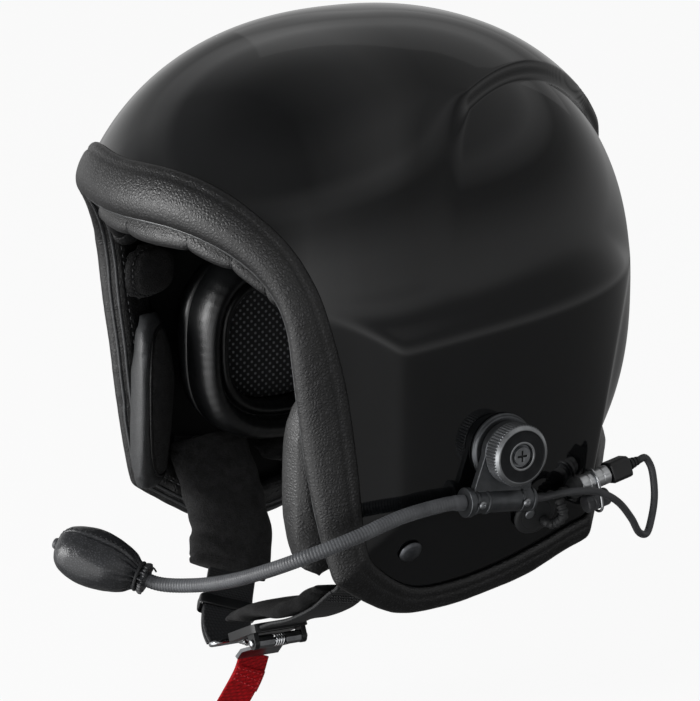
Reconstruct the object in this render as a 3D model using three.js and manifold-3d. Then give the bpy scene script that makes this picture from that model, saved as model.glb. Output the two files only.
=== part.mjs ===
// An open-face flight helmet: hard shell with a raised roof and side pods, leather edge roll,
// foam and leather lining, ear cups, a buckled chin strap, and a microphone on a swivelling boom.
// Millimetres. +X is the wearer's left, -Y is forward, +Z is up. The origin is the centre of the dome.
import * as THREE from "three";
import { mergeVertices } from "three/addons/utils/BufferGeometryUtils.js";
import Module from "manifold-3d";

const wasm = await Module();
wasm.setup();

const vec = (x, y, z) => new THREE.Vector3(x, y, z);
const degrees = Math.PI / 180;
const { abs, cos, max, min, sin, sqrt } = Math;

// Running and seating clearances
const gap = 0.3;
const cutOverrun = 4;

// The shell: a rounded dome with a swollen roof panel and a pod over each ear
const shell = { wall: 3.2, edgeDepth: 6, grooveGap: 0.8 };
const looseGap = 1.3;
const dome = { halfWidth: 108, frontLength: 142, rearLength: 136, height: 135.5 };
const domeRoundShare = 2.28;
const roof = { rearLength: 122.5, creaseReach: 73.6, creaseSoft: 2.5, fadeStart: 12, fadeLength: 80, fadeSoft: 46 };
const roofAngle = 23.9 * degrees;
const roofSwellShare = 1.05;
const pod = { halfWidth: 115, frontLength: 165, rearLength: 127, creaseHeight: 6, topHeight: 70 };
const podRoundShare = 2.6;
const podWedgeShare = 0.4;
const podCreaseRiseShare = 0.115;
const podFront = { creaseLength: 45.5 };
const podFrontAngle = 24 * degrees;
const podRear = { creaseLength: 70, creaseDepth: 68 };
const podRearAngle = 54 * degrees;
const podRearTiltAngle = -9.6 * degrees;
const podLow = { creaseDepth: 84, inset: 2 };
const podLowAngle = -26 * degrees;
const creaseSharpness = 70;

// The rim, from the brow centre round the left side to the nape, as shares of the dome's half width,
// front length and height: where the edge roll starts on the shell, and where the roll ends.
const rollStartShares = [
  [0, -0.912, 0.601], [0.389, -0.852, 0.594], [0.583, -0.782, 0.546], [0.716, -0.715, 0.472],
  [0.815, -0.649, 0.381], [0.881, -0.599, 0.274], [0.926, -0.56, 0.146], [0.963, -0.507, -0.103],
  [0.969, -0.465, -0.384], [0.976, -0.434, -0.664], [0.94, -0.352, -0.797], [0.884, -0.204, -0.889],
  [0.878, -0.042, -0.893], [0.903, 0.127, -0.852], [0.94, 0.268, -0.793], [0.968, 0.394, -0.716],
  [0.954, 0.521, -0.649], [0.833, 0.669, -0.605], [0.509, 0.817, -0.568], [0, 0.88, -0.554],
];
const rollEndShares = [
  [0, -0.986, 0.428], [0.407, -0.926, 0.424], [0.611, -0.842, 0.376], [0.741, -0.761, 0.295],
  [0.815, -0.704, 0.192], [0.852, -0.68, 0.089], [0.866, -0.669, -0.03], [0.87, -0.648, -0.207],
  [0.88, -0.62, -0.428], [0.912, -0.56, -0.731], [0.889, -0.465, -0.863], [0.824, -0.261, -0.989],
  [0.815, -0.063, -0.996], [0.831, 0.099, -0.963], [0.856, 0.243, -0.923], [0.896, 0.366, -0.838],
  [0.898, 0.493, -0.753], [0.796, 0.641, -0.69], [0.491, 0.796, -0.642], [0, 0.866, -0.627],
];
const crownShares = [0, 0.6, 0.8];
const rimBelowShares = [0.263, 0.342];
const rimStations = 60;
const shellRings = 10;

// The edge roll's section: how far it stands out of the shell, reaches inside it, and its lips
const roll = { proud: 3.2, depth: 11.5, lip: 2.3, shoulder: 1.4, round: 3 };

// Lining
const foam = { headHalfWidth: 86, headLength: 114, headHeight: 117, sideHeight: 14, rearStart: 50 };
const foamRearDropShare = 1.2;
const foamReachShare = 0.9;
const foamStations = 40;
const foamRings = 6;
const padEdge = 2.4;
const crownPad = { thickness: 9, halfWidth: 42, halfLength: 55 };
const crownPadShares = [0, 0.12, 0.99];
const napePad = { thickness: 16, halfWidth: 46, halfHeight: 20, height: -56 };
const templePad = { thickness: 11, halfHeight: 14.5, halfLength: 16 };
const templePadShares = [0.7778, -0.479, 0.0221];
const cheekPad = { thickness: 22, halfHeight: 48, halfLength: 16 };
const cheekPadShares = [0.8148, -0.5, -0.465];
const neckPad = { thickness: 11, halfHeight: 13, inset: 1.4, halfLength: 41 };
const neckPadShares = [0.8519, 0.19, -0.7823];
const browPad = { thickness: 9.5, overhang: 13, underlap: 9, channel: 2.6, round: 2.5 };
const browReachShare = 0.11316;
const browSegments = 8;
const browStepsPerSegment = 3;

// Ear cups, one each side; their own axis is X
const ear = { y: -3, z: -38, halfLength: 52, halfHeight: 50, depth: 28.5, wall: 3, clearance: 4.66 };
const earRoundShare = 2.7;
const seal = { width: 19, thickness: 20 };
const grille = { thickness: 1.4 };
const speaker = { radius: 26, depth: 11, magnetRadius: 13, magnetDepth: 7 };
const spacer = { radius: 14, z: -24 };

// Strap anchors: a domed rivet through the low facet of each pod, with a washer inside
const anchor = { y: -37.6, rise: 17.76, capRadius: 6, capHeight: 3.2, shankRadius: 2.2 };
const anchorWasher = { radius: 4.9, thickness: 1.2 };
const tabSkewAngle = 8 * degrees;
const webbing = { width: 25, thickness: 2 };
const tab = { tipLength: 5.5, bore: 2.8, straight: 5.4, turn: 9.5, inward: 12 };
const fleece = { width: 44, thickness: 9, nearWidth: 34, nearThickness: 8, lift: 3.4 };
const strapHinge = 0.4;

// Centre lines of the two halves of the chin strap. Each point's place between the anchors is a share of
// their distance from the middle; forward and down it is a share of how far the buckle lies from them.
const chin = { forward: 27.4, drop: 58.4 };
const leftStrapRouteShares = [[0.7085, 0.5255, 0.4521], [0.614, 0.6898, 0.6147], [0.5101, 0.8723, 0.7346]];
const rightStrapRouteShares = [
  [-0.6613, -0.08, 0.3493], [-0.5762, 0, 0.589], [-0.4818, 0.25, 0.8116], [-0.359, 0.62, 1.0171],
];
const buckleShares = [0.1795, 1, 1];

// Buckle, in its own frame: x along the strap towards the hook, y across it, z away from the neck
const buckle = { length: 32, width: 31, thickness: 4.2, corner: 4, leadIn: 9 };
const buckleAheadShares = [-0.905, 0.02, -0.425];
const buckleSlot = { width: 26, length: 4.4, inset: 4 };
const hookSlot = { width: 13, length: 9, inset: 3.6 };
const lever = { length: 25, width: 23, thickness: 1.8, lift: 7, eye: 3.1, tip: 4 };
const leverPin = { radius: 1.4, overhang: 1.5, height: 4.4, along: -9 };
const ears = { thickness: 2.6, radius: 3.4 };
const spring = { turns: 4, radius: 2.7, wire: 0.4, pitch: 1.3 };
const hook = { radius: 3.4, length: 13, collarRadius: 4.4, collarLength: 4 };
const hookRing = { bar: 2.2, width: 31, length: 8.4, thickness: 2.6, overlap: 1, lead: 5, rise: 7 };
const redTab = { width: 15.5, thickness: 1.8, drop: 33, forward: 17, inward: 3 };

// Boom swivel on the left pod; its axis is X
const swivel = { y: 7.3, z: -52.3, baseRadius: 17, base: 3, postRadius: 3, headRadius: 6.4, head: 2 };
const washer = { radius: 13.5, thickness: 1.2 };
const bracket = { thickness: 4, eyeRadius: 14.5, dropY: -6, drop: 23.5, footHalf: 17 };
const clamp = { radius: 5.6, halfLength: 19, flangeRadius: 7.2, flange: 3 };
const clampTiltAngle = 5.5 * degrees;
const knob = { radius: 15.2, depth: 9.6, knurl: 0.7, chamfer: 1.4, recessRadius: 5.6, recess: 2.2 };
const knurlCount = 30;
const knobScrew = { radius: 4.4, head: 1.7, slot: 1.1, slotDepth: 0.9 };
const clampScrew = { radius: 2, head: 1.5, inset: 3.4 };

// Gooseneck, from the clamp to the microphone: its centre line as shares of how far it reaches forward
const gooseneck = { radius: 3.5, groove: 0.45, plain: 7, reach: 125.9 };
const gooseneckRibs = 48;
const gooseneckRouteShares = [
  [-0.0009, -0.1199, 0.0028], [-0.0009, -0.2787, -0.0155], [-0.0128, -0.4694, -0.0679], [-0.0803, -0.6322, -0.1315],
  [-0.2154, -0.7275, -0.2069], [-0.3901, -0.7911, -0.2824], [-0.549, -0.8586, -0.3301], [-0.6681, -0.938, -0.342],
  [-0.7357, -1, -0.314],
];
const muff = { length: 52, radius: 14.5, wall: 1.6, cuff: 11, neck: 4.1 };
const capsule = { length: 26, radius: 9.5, offset: 4 };
const drawcord = { wire: 0.9, clearance: 0.5 };
const cordLock = { radius: 2.6, length: 7 };

// Lead from the boom to the plug, and the plug's fittings behind the pod
const lead = { radius: 1.8 };
const leadRoute = [
  vec(125, 33, -76.8), vec(128.5, 43, -75.8), vec(130.5, 54, -77.6), vec(131.5, 64, -83.6),
  vec(131.5, 72, -93), vec(130, 78, -101.5), vec(127, 84.5, -103.5), vec(124.5, 89, -97),
  vec(123, 91.5, -88), vec(121.3, 92, -79), vec(119.8, 91.2, -72.4),
];
const plug = {
  standOff: 7.08, y: 43.5, z: -78, bootRadius: 5, boot: 6, sleeveRadius: 4.6, sleeve: 17, body: 11, bodyHalf: 5.2,
};
const plugRise = 12.5 * degrees;
const relief = { length: 7, radius: 3.4, ribs: 3, groove: 0.6 };
const patch = { y: 29, z: -88, radius: 11.5, thickness: 2.6, bevel: 0.8 };
const patchScrew = { radius: 2.6, head: 1.4, offset: 5 };
const socketLead = { radius: 2.6, groove: 0.4, ribs: 6, rear: 4.5, down: 3, bow: 4.6 };
const stub = { radius: 4.4, length: 13, drop: 10.6, back: 1.5 };
const clip = { wire: 0.7 };

// Directions and the shell's surface

function norm(power, ...terms) {
  return terms.reduce((sum, t) => sum + max(t, 0) ** power, 0) ** (1 / power);
}

function smooth(from, to, value) {
  const t = min(max((value - from) / (to - from), 0), 1);
  return t * t * (3 - 2 * t);
}

function podWallX(y) {
  const length = y < 0 ? pod.frontLength : pod.rearLength;
  return pod.halfWidth * (1 - (abs(y) / length) ** podRoundShare) ** (1 / podRoundShare);
}

// A flat facet of the pod, given by its unit normal and one point on it
function facet(normal, point) {
  const reach = normal.dot(point);
  return (x, y, z) => (normal.x * x + normal.y * y + normal.z * z) / reach;
}

const frontFacet = facet(
  vec(cos(podFrontAngle), -sin(podFrontAngle), 0),
  vec(podWallX(-podFront.creaseLength), -podFront.creaseLength, 0),
);
const rearFacet = facet(
  vec(cos(podRearAngle) * cos(podRearTiltAngle), sin(podRearAngle) * cos(podRearTiltAngle), sin(podRearTiltAngle)),
  vec(podWallX(podRear.creaseLength), podRear.creaseLength, -podRear.creaseDepth),
);
const lowNormal = vec(cos(podLowAngle), 0, sin(podLowAngle));
const lowFacet = facet(lowNormal, vec(pod.halfWidth - podLow.inset, 0, -podLow.creaseDepth));

// Distance from the origin to the outer surface along a unit direction
function shellRadius(d) {
  const x = abs(d.x);
  const length = d.y < 0 ? dome.frontLength : dome.rearLength;
  const domeInverse = norm(domeRoundShare, x / dome.halfWidth, abs(d.y) / length, abs(d.z) / dome.height);
  const across = (x * cos(roofAngle) + d.y * sin(roofAngle)) / domeInverse;
  const fade = min(max((roof.fadeStart - d.y / domeInverse) / roof.fadeLength, 0), 1);
  const soft = roof.creaseSoft + roof.fadeSoft * fade;
  const swell = 1 + (roofSwellShare - 1) * smooth(-soft, soft, roof.creaseReach - across);
  const roofInverse = norm(creaseSharpness, domeInverse / swell, d.y / roof.rearLength);
  const podLength = d.y < 0 ? pod.frontLength : pod.rearLength;
  const wall = norm(podRoundShare, x / pod.halfWidth, abs(d.y) / podLength);
  const slope = podWedgeShare / pod.halfWidth;
  const wedge = (wall + slope * (d.z - podCreaseRiseShare * d.y)) / (1 + slope * pod.creaseHeight);
  const podInverse = norm(
    creaseSharpness, wall, wedge, frontFacet(x, d.y, d.z), rearFacet(x, d.y, d.z),
    lowFacet(x, d.y, d.z), d.z / pod.topHeight,
  );
  return norm(creaseSharpness, 1 / domeInverse, 1 / roofInverse, 1 / podInverse);
}

const onSurface = (direction, inset) => {
  const d = direction.clone().normalize();
  return d.multiplyScalar(shellRadius(d) - inset);
};

const inDome = ([x, y, z]) => vec(x * dome.halfWidth, y * dome.frontLength, z * dome.height);

// A table of shares made into a closed curve, the right side mirrored from the left
function rimCurve(shares) {
  const left = shares.map(inDome);
  const right = left.slice(1, -1).reverse().map((p) => vec(-p.x, p.y, p.z));
  return new THREE.CatmullRomCurve3([...left, ...right], true, "catmullrom");
}

const rollStart = rimCurve(rollStartShares);
const rollEnd = rimCurve(rollEndShares);
const crown = inDome(crownShares).normalize();

// A point of the rim band: along is millimetres from the roll's start towards its end, out is above the shell
function rimPoint(t, along, out) {
  const a = onSurface(rollStart.getPoint(t), 0);
  const b = onSurface(rollEnd.getPoint(t), 0);
  return onSurface(a.clone().lerp(b, along / a.distanceTo(b)), -out);
}

function rollWidth(t) {
  return onSurface(rollStart.getPoint(t), 0).distanceTo(onSurface(rollEnd.getPoint(t), 0));
}

// A direction between the crown and the rim, share 0 at the crown and 1 where the roll starts
function slide(t, share) {
  const edge = rollStart.getPoint(t).normalize();
  const angle = crown.angleTo(edge);
  return crown.clone().multiplyScalar(sin((1 - share) * angle)).addScaledVector(edge, sin(share * angle)).normalize();
}

// Solids

// A closed mesh through rings of equally many points, wrapped end to end or closed by two tips
function ringSolid(rings, { wrap = false, startTip = null, endTip = null } = {}) {
  const count = rings[0].length;
  const middle = (ring) => ring.reduce((s, p) => s.add(p), vec(0, 0, 0)).divideScalar(ring.length);
  const points = rings.flat();
  const index = [];
  const steps = wrap ? rings.length : rings.length - 1;
  for (let i = 0; i < steps; i++) {
    for (let j = 0; j < count; j++) {
      const a = i * count + j;
      const b = i * count + ((j + 1) % count);
      const c = ((i + 1) % rings.length) * count + j;
      const d = ((i + 1) % rings.length) * count + ((j + 1) % count);
      index.push(a, b, d, a, d, c);
    }
  }
  if (!wrap) {
    points.push(startTip ?? middle(rings[0]), endTip ?? middle(rings.at(-1)));
    const last = (rings.length - 1) * count;
    for (let j = 0; j < count; j++) {
      index.push(points.length - 2, (j + 1) % count, j);
      index.push(points.length - 1, last + j, last + ((j + 1) % count));
    }
  }
  const geometry = new THREE.BufferGeometry();
  geometry.setAttribute("position", new THREE.Float32BufferAttribute(points.flatMap((p) => [p.x, p.y, p.z]), 3));
  geometry.setIndex(index);
  return facingOut(geometry);
}

function signedVolume(geometry) {
  const p = geometry.attributes.position;
  const [a, b, c] = [vec(0, 0, 0), vec(0, 0, 0), vec(0, 0, 0)];
  let sum = 0;
  for (let i = 0; i < geometry.index.count; i += 3) {
    a.fromBufferAttribute(p, geometry.index.getX(i));
    b.fromBufferAttribute(p, geometry.index.getX(i + 1));
    c.fromBufferAttribute(p, geometry.index.getX(i + 2));
    sum += a.dot(b.cross(c));
  }
  return sum;
}

function facingOut(geometry) {
  if (signedVolume(geometry) >= 0) return geometry;
  const list = [...geometry.index.array];
  for (let i = 0; i < list.length; i += 3) [list[i + 1], list[i + 2]] = [list[i + 2], list[i + 1]];
  geometry.setIndex(list);
  return geometry;
}

function mirrored(geometry) {
  const copy = weld(geometry).clone().scale(-1, 1, 1);
  return facingOut(copy);
}

// Merged positions only, as booleans need
function weld(geometry) {
  const bare = geometry.clone();
  bare.deleteAttribute("normal");
  bare.deleteAttribute("uv");
  return mergeVertices(bare, 1e-4);
}

function toSolid(geometry) {
  const merged = weld(geometry);
  return new wasm.Manifold(new wasm.Mesh({
    numProp: 3,
    vertProperties: merged.attributes.position.array,
    triVerts: new Uint32Array(merged.index.array),
  }));
}

function fromSolid(solid) {
  const mesh = solid.getMesh();
  const geometry = new THREE.BufferGeometry();
  geometry.setAttribute("position", new THREE.Float32BufferAttribute(mesh.vertProperties, mesh.numProp));
  geometry.setIndex([...mesh.triVerts]);
  return geometry;
}

const cut = (geometry, ...tools) => fromSolid(tools.reduce((s, t) => s.subtract(toSolid(t)), toSolid(geometry)));
const join = (geometry, ...others) => fromSolid(others.reduce((s, t) => s.add(toSolid(t)), toSolid(geometry)));

// A turned solid about X, from [x, radius] pairs that start and end on the axis
function turned(profile, sides = 24) {
  const geometry = new THREE.LatheGeometry(profile.map(([x, r]) => new THREE.Vector2(r, x)), sides);
  return facingOut(weld(geometry).rotateZ(-90 * degrees));
}

// The same with a bore: the profile closes on itself
function turnedRing(profile, sides = 24) {
  return turned([...profile, profile[0]], sides);
}

const disc = (from, to, radius, sides = 24) => turned([[from, 0], [from, radius], [to, radius], [to, 0]], sides);

// A rectangle's or outline's extrusion, with the thickness along Z
function plate(outline, thickness, holes = []) {
  const shape = new THREE.Shape(outline);
  shape.holes = holes.map((h) => new THREE.Path(h));
  return new THREE.ExtrudeGeometry(shape, { depth: thickness, bevelEnabled: false });
}

const rectangle = (x, y, halfX, halfY) => [
  new THREE.Vector2(x - halfX, y - halfY), new THREE.Vector2(x + halfX, y - halfY),
  new THREE.Vector2(x + halfX, y + halfY), new THREE.Vector2(x - halfX, y + halfY),
];

function circle(x, y, radius, sides = 16) {
  return Array.from({ length: sides }, (_, i) => {
    const a = (i / sides) * 2 * Math.PI;
    return new THREE.Vector2(x + radius * cos(a), y + radius * sin(a));
  });
}

// A round-cornered rectangle, three points a corner
function roundedRectangle(halfX, halfY, corner) {
  const centres = [[1, 1, 0], [-1, 1, 90], [-1, -1, 180], [1, -1, 270]];
  return centres.flatMap(([sx, sy, start]) => [0, 45, 90].map((turn) => {
    const a = (start + turn) * degrees;
    return new THREE.Vector2(sx * (halfX - corner) + corner * cos(a), sy * (halfY - corner) + corner * sin(a));
  }));
}

// A tube along hand-chosen points; radiusAt gives the radius by share of the length
function tube(curve, steps, sides, radiusAt) {
  const frames = curve.computeFrenetFrames(steps, curve.closed);
  const rings = [];
  for (let i = 0; i <= (curve.closed ? steps - 1 : steps); i++) {
    const centre = curve.getPointAt(i / steps);
    const r = radiusAt(i / steps);
    rings.push(Array.from({ length: sides }, (_, j) => {
      const a = (j / sides) * 2 * Math.PI;
      return centre.clone()
        .addScaledVector(frames.normals[i], r * cos(a))
        .addScaledVector(frames.binormals[i], r * sin(a));
    }));
  }
  return ringSolid(rings, { wrap: curve.closed });
}

// A flat strap along a curve: section gives [across, above] pairs; across runs with the width direction there
function strap(curve, steps, widthDirectionAt, sectionAt) {
  const rings = [];
  for (let i = 0; i <= steps; i++) {
    const centre = curve.getPointAt(i / steps);
    const ahead = curve.getTangentAt(i / steps);
    const above = ahead.clone().cross(widthDirectionAt(i / steps)).normalize();
    const across = above.clone().cross(ahead).normalize();
    rings.push(sectionAt(i / steps).map(([w, h]) =>
      centre.clone().addScaledVector(across, w).addScaledVector(above, h)));
  }
  return ringSolid(rings);
}

const flatSection = (width, thickness) => () => [
  [-width / 2, -thickness / 2], [width / 2, -thickness / 2], [width / 2, thickness / 2], [-width / 2, thickness / 2],
];

// A padded strip lying over a strap: flat below, crowned above, its ends drawn in
function paddedSection(width, thickness, base) {
  return (share) => {
    const full = sqrt(1 - abs(2 * share - 1) ** 6 * 0.8);
    const half = (width / 2) * (0.72 + 0.28 * full);
    const top = base + thickness * (0.35 + 0.65 * full);
    const shoulder = base + thickness * 0.45;
    return [
      [-half * 0.9, base], [half * 0.9, base], [half, shoulder], [half * 0.72, top - thickness * 0.12],
      [0, top], [-half * 0.72, top - thickness * 0.12], [-half, shoulder],
    ];
  };
}

// A cushion on the inside of the shell: its back follows seat(direction), its face is crowned
function cushion({ centre, along, across, halfAlong, halfAcross, thickness, seat, inward, rings = 3, sides = 18 }) {
  const roundShare = 2.8;
  const place = (share, turn) => {
    const c = cos(turn);
    const s = sin(turn);
    const k = share / norm(roundShare, abs(c), abs(s));
    const d = centre.clone()
      .addScaledVector(along, c * k * halfAlong)
      .addScaledVector(across, s * k * halfAcross)
      .normalize();
    const back = d.clone().multiplyScalar(seat(d));
    return { back, into: inward ? inward.clone().normalize() : d.negate() };
  };
  const backRing = (share) => Array.from({ length: sides }, (_, j) => place(share, (j / sides) * 2 * Math.PI).back);
  const faceRing = (share) => Array.from({ length: sides }, (_, j) => {
    const { back, into } = place(share, (j / sides) * 2 * Math.PI);
    const crowned = (1 - share ** 3.2) ** (1 / 2.2);
    return back.addScaledVector(into, padEdge + (thickness - padEdge) * crowned);
  });
  const shares = Array.from({ length: rings }, (_, i) => sin(((i + 1) / rings) * 90 * degrees));
  const tip = place(0, 0);
  return ringSolid(
    [...shares.map(backRing), ...shares.toReversed().map(faceRing)],
    { startTip: tip.back.clone(), endTip: tip.back.clone().addScaledVector(tip.into, thickness) },
  );
}

// Materials
const paint = (name, color, roughness, metalness = 0) =>
  Object.assign(new THREE.MeshStandardMaterial({ color, roughness, metalness }), { name });
const glossBlack = () => paint("gloss paint", 0x0b0c0d, 0.08);
const blackLeather = () => paint("black leather", 0x26272a, 0.5);
const greyFleece = () => paint("fleece", 0x3d4044, 0.95);
const foamGrey = () => paint("foam", 0x3a3a3a, 0.95);
const webbingBlack = () => paint("webbing", 0x1b1c1e, 0.85);
const redWebbing = () => paint("red webbing", 0xd0353c, 0.8);
const blackPlastic = () => paint("black plastic", 0x161718, 0.4);
const greyPlastic = () => paint("grey plastic", 0x4a4c4f, 0.5);
const blackRubber = () => paint("rubber", 0x1d1e20, 0.6);
const steel = () => paint("steel", 0xc9ccce, 0.25, 1);
const darkMetal = () => paint("anodised", 0x202224, 0.35, 0.8);
const speakerCloth = () => paint("speaker cloth", 0x2a2b2d, 0.9);

const helmet = new THREE.Group();

function add(name, geometry, material, parent = helmet) {
  const mesh = new THREE.Mesh(geometry, material);
  mesh.name = name;
  parent.add(mesh);
  return mesh;
}

function addPair(name, geometry, makeMaterial) {
  add("left_" + name, geometry, makeMaterial());
  add("right_" + name, mirrored(geometry), makeMaterial());
}

// Shell, with bores for the strap anchors and the boom swivel

// Stations round the rim, evenly spaced along it
const stationsOf = (count) => Array.from({ length: count }, (_, j) => rollStart.getUtoTmapping(j / count));

function capRings(stations, rings, point) {
  return Array.from({ length: rings }, (_, i) => stationsOf(stations).map((t) => point(t, (i + 1) / rings)));
}

const shellOut = capRings(rimStations, shellRings, (t, share) => onSurface(slide(t, share), 0));
const shellIn = capRings(rimStations, shellRings, (t, share) => onSurface(slide(t, share), shell.wall));

shellOut.push(stationsOf(rimStations).map((t) => rimPoint(t, shell.edgeDepth - gap, 0)));
shellIn.push(stationsOf(rimStations).map((t) => rimPoint(t, shell.edgeDepth - gap, -shell.wall)));
const shellBlank = ringSolid([...shellOut, ...shellIn.toReversed()], {
  startTip: onSurface(crown, 0),
  endTip: onSurface(crown, shell.wall),
});

// Where a line parallel to X through y, z meets the outer surface on the left, or the surface inset from it
function sideX(y, z, inset = 0) {
  let low = 0;
  let high = 2 * pod.halfWidth;
  while (high - low > 1e-4) {
    const middle = (low + high) / 2;
    const p = vec(middle, y, z);
    if (p.length() < shellRadius(p.clone().normalize()) - inset) low = middle;
    else high = middle;
  }
  return low;
}

// The point below the pod where the edge roll starts, at this y
function rimBelow(y) {
  let [front, rear] = rimBelowShares;
  while (rear - front > 1e-6) {
    const middle = (front + rear) / 2;
    if (onSurface(rollStart.getPoint(middle), 0).y < y) front = middle;
    else rear = middle;
  }
  return onSurface(rollStart.getPoint(front), 0);
}

const anchorZ = rimBelow(anchor.y).z + anchor.rise;
const anchorPoint = vec(sideX(anchor.y, anchorZ), anchor.y, anchorZ);
const turnToLow = (geometry) => geometry
  .applyQuaternion(new THREE.Quaternion().setFromUnitVectors(vec(1, 0, 0), lowNormal))
  .translate(anchorPoint.x, anchorPoint.y, anchorPoint.z);
const anchorBore = turnToLow(disc(-shell.wall - cutOverrun, cutOverrun, anchor.shankRadius + gap, 16));
const swivelSeat = circle(swivel.y, swivel.z, swivel.baseRadius).map(({ x: y, y: z }) => sideX(y, z));
const swivelX = max(...swivelSeat);
const toSwivel = (geometry) => geometry.translate(swivelX, swivel.y, swivel.z);
const swivelBore = toSwivel(disc(-shell.wall - cutOverrun, cutOverrun, swivel.postRadius + gap, 16));
add("shell", cut(shellBlank, anchorBore, mirrored(anchorBore), swivelBore), glossBlack());

// Edge roll: a leather channel round the whole rim, with the shell's edge seated in its groove
const rollRings = stationsOf(rimStations).map((t) => {
  const width = rollWidth(t);
  const inside = -shell.wall - shell.grooveGap;
  return [
    [0, shell.grooveGap], [0, roll.shoulder], [roll.shoulder, roll.lip + shell.grooveGap], [width * 0.45, roll.proud],
    [width - roll.round, roll.proud * 0.6], [width, -roll.round], [width, -roll.depth + roll.round],
    [width - roll.round, -roll.depth], [width * 0.5, -roll.depth], [roll.round, -roll.depth + roll.shoulder],
    [roll.shoulder, inside - roll.lip], [roll.shoulder, inside],
    [shell.edgeDepth, inside], [shell.edgeDepth, shell.grooveGap],
  ].map(([along, out]) => rimPoint(t, along, out));
});
add("edge_trim", ringSolid(rollRings, { wrap: true }), blackLeather());

// Foam liner: fills between the shell and the head, above the ear cups
const headRadius = (d) => 1 / norm(
  2, abs(d.x) / foam.headHalfWidth, abs(d.y) / foam.headLength, abs(d.z) / foam.headHeight,
);

function foamReach(t) {
  const floor = (p) => foam.sideHeight - foamRearDropShare * max(p.y - foam.rearStart, 0);
  let low = 0.2;
  let high = foamReachShare;
  if (onSurface(slide(t, high), 0).z > floor(onSurface(slide(t, high), 0))) return high;
  for (let i = 0; i < 30; i++) {
    const middle = (low + high) / 2;
    const p = onSurface(slide(t, middle), 0);
    if (p.z > floor(p)) low = middle;
    else high = middle;
  }
  return low;
}

const domeRadius = (d) => 1 / norm(
  domeRoundShare, abs(d.x) / dome.halfWidth, abs(d.y) / (d.y < 0 ? dome.frontLength : dome.rearLength),
  abs(d.z) / dome.height,
);
const foamReaches = new Map(stationsOf(foamStations).map((t) => [t, foamReach(t)]));
const foamRing = (radius) => capRings(foamStations, foamRings, (t, share) => {
  const d = slide(t, share * foamReaches.get(t));
  return d.clone().multiplyScalar(radius(d));
});
const foamOut = (d) => domeRadius(d) - shell.wall - looseGap;
add("foam_liner", ringSolid([...foamRing(foamOut), ...foamRing(headRadius).toReversed()], {
  startTip: crown.clone().multiplyScalar(foamOut(crown)),
  endTip: crown.clone().multiplyScalar(headRadius(crown)),
}), foamGrey());

// Lining cushions
const onFoam = (d) => headRadius(d) - looseGap - 3 * gap;
const onRoll = (d) => shellRadius(d) - roll.depth - looseGap - gap;

add("crown_pad", cushion({
  centre: vec(...crownPadShares).multiplyScalar(foam.headHeight), along: vec(0, 1, 0), across: vec(1, 0, 0),
  halfAlong: crownPad.halfLength, halfAcross: crownPad.halfWidth, thickness: crownPad.thickness, seat: onFoam,
}), blackLeather());
add("nape_pad", cushion({
  centre: vec(0, dome.rearLength, napePad.height), along: vec(1, 0, 0), across: vec(0, 0, 1),
  halfAlong: napePad.halfWidth, halfAcross: napePad.halfHeight, thickness: napePad.thickness,
  seat: (d) => min(onFoam(d), onRoll(d)),
}), greyFleece());
addPair("temple_pad", cushion({
  centre: inDome(templePadShares), along: vec(0, 0, 1), across: vec(0.5, 0.86, 0),
  halfAlong: templePad.halfHeight, halfAcross: templePad.halfLength, thickness: templePad.thickness,
  seat: (d) => onRoll(d) + 2 * gap,
}), greyFleece);
addPair("cheek_pad", cushion({
  centre: inDome(cheekPadShares), along: vec(0, 0, 1), across: vec(0.41, 0.91, 0),
  halfAlong: cheekPad.halfHeight, halfAcross: cheekPad.halfLength, thickness: cheekPad.thickness, seat: onRoll,
  inward: vec(-0.98, -0.2, 0), rings: 4, sides: 24,
}), greyFleece);
addPair("neck_pad", cushion({
  centre: inDome(neckPadShares), along: vec(-0.2, 0.98, 0.1), across: vec(0, 0, 1),
  halfAlong: neckPad.halfLength, halfAcross: neckPad.halfHeight, thickness: neckPad.thickness,
  seat: (d) => onRoll(d) - neckPad.inset, inward: vec(-1, 0, 0),
}), greyFleece);

// Brow pad: sewn leather segments that hang below the edge roll across the brow
const browSteps = browSegments * browStepsPerSegment;
const browRings = Array.from({ length: browSteps + 1 }, (_, i) => {
  const t = ((i / browSteps) * 2 - 1) * browReachShare;
  const station = (t + 1) % 1;
  const width = rollWidth(station);
  const crownOf = sqrt(abs(sin((i / browStepsPerSegment) * Math.PI)));
  const full = browPad.thickness - browPad.channel * (1 - crownOf);
  const end = smooth(0, 0.12, i / browSteps) * smooth(0, 0.12, 1 - i / browSteps);
  const reach = width - browPad.round + browPad.overhang * (0.3 + 0.7 * end) - browPad.channel * (1 - crownOf);
  const top = -roll.depth - 4 * gap;
  return [
    [width - browPad.underlap - browPad.overhang, top], [width - browPad.round, top],
    [reach - browPad.round, top], [reach, top - full * 0.35], [reach - browPad.round, top - full * 0.85],
    [width - browPad.underlap, top - full], [width - browPad.underlap - browPad.overhang, top - browPad.round],
  ].map(([along, out]) => rimPoint(station, along, out));
});
add("brow_pad", ringSolid(browRings), blackLeather());

// Ear cups

// A D of the ear cup's outline in the plane x, grown or drawn in by inset
function earRing(x, inset, sides = 24) {
  return Array.from({ length: sides }, (_, j) => {
    const turn = (j / sides) * 2 * Math.PI;
    const k = 1 / norm(earRoundShare, abs(cos(turn)), abs(sin(turn)));
    return vec(
      x, ear.y + cos(turn) * k * (ear.halfLength - inset), ear.z + sin(turn) * k * (ear.halfHeight - inset),
    );
  });
}

function bowlRings(depth, inset, base) {
  return [0.35, 0.7, 0.9, 1].map((share) => {
    const drawn = (1 - share) * ear.halfHeight * 0.9 + inset;
    return earRing(base + depth * (1 - share ** 2.6) ** (1 / 2.6), drawn);
  });
}

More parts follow.
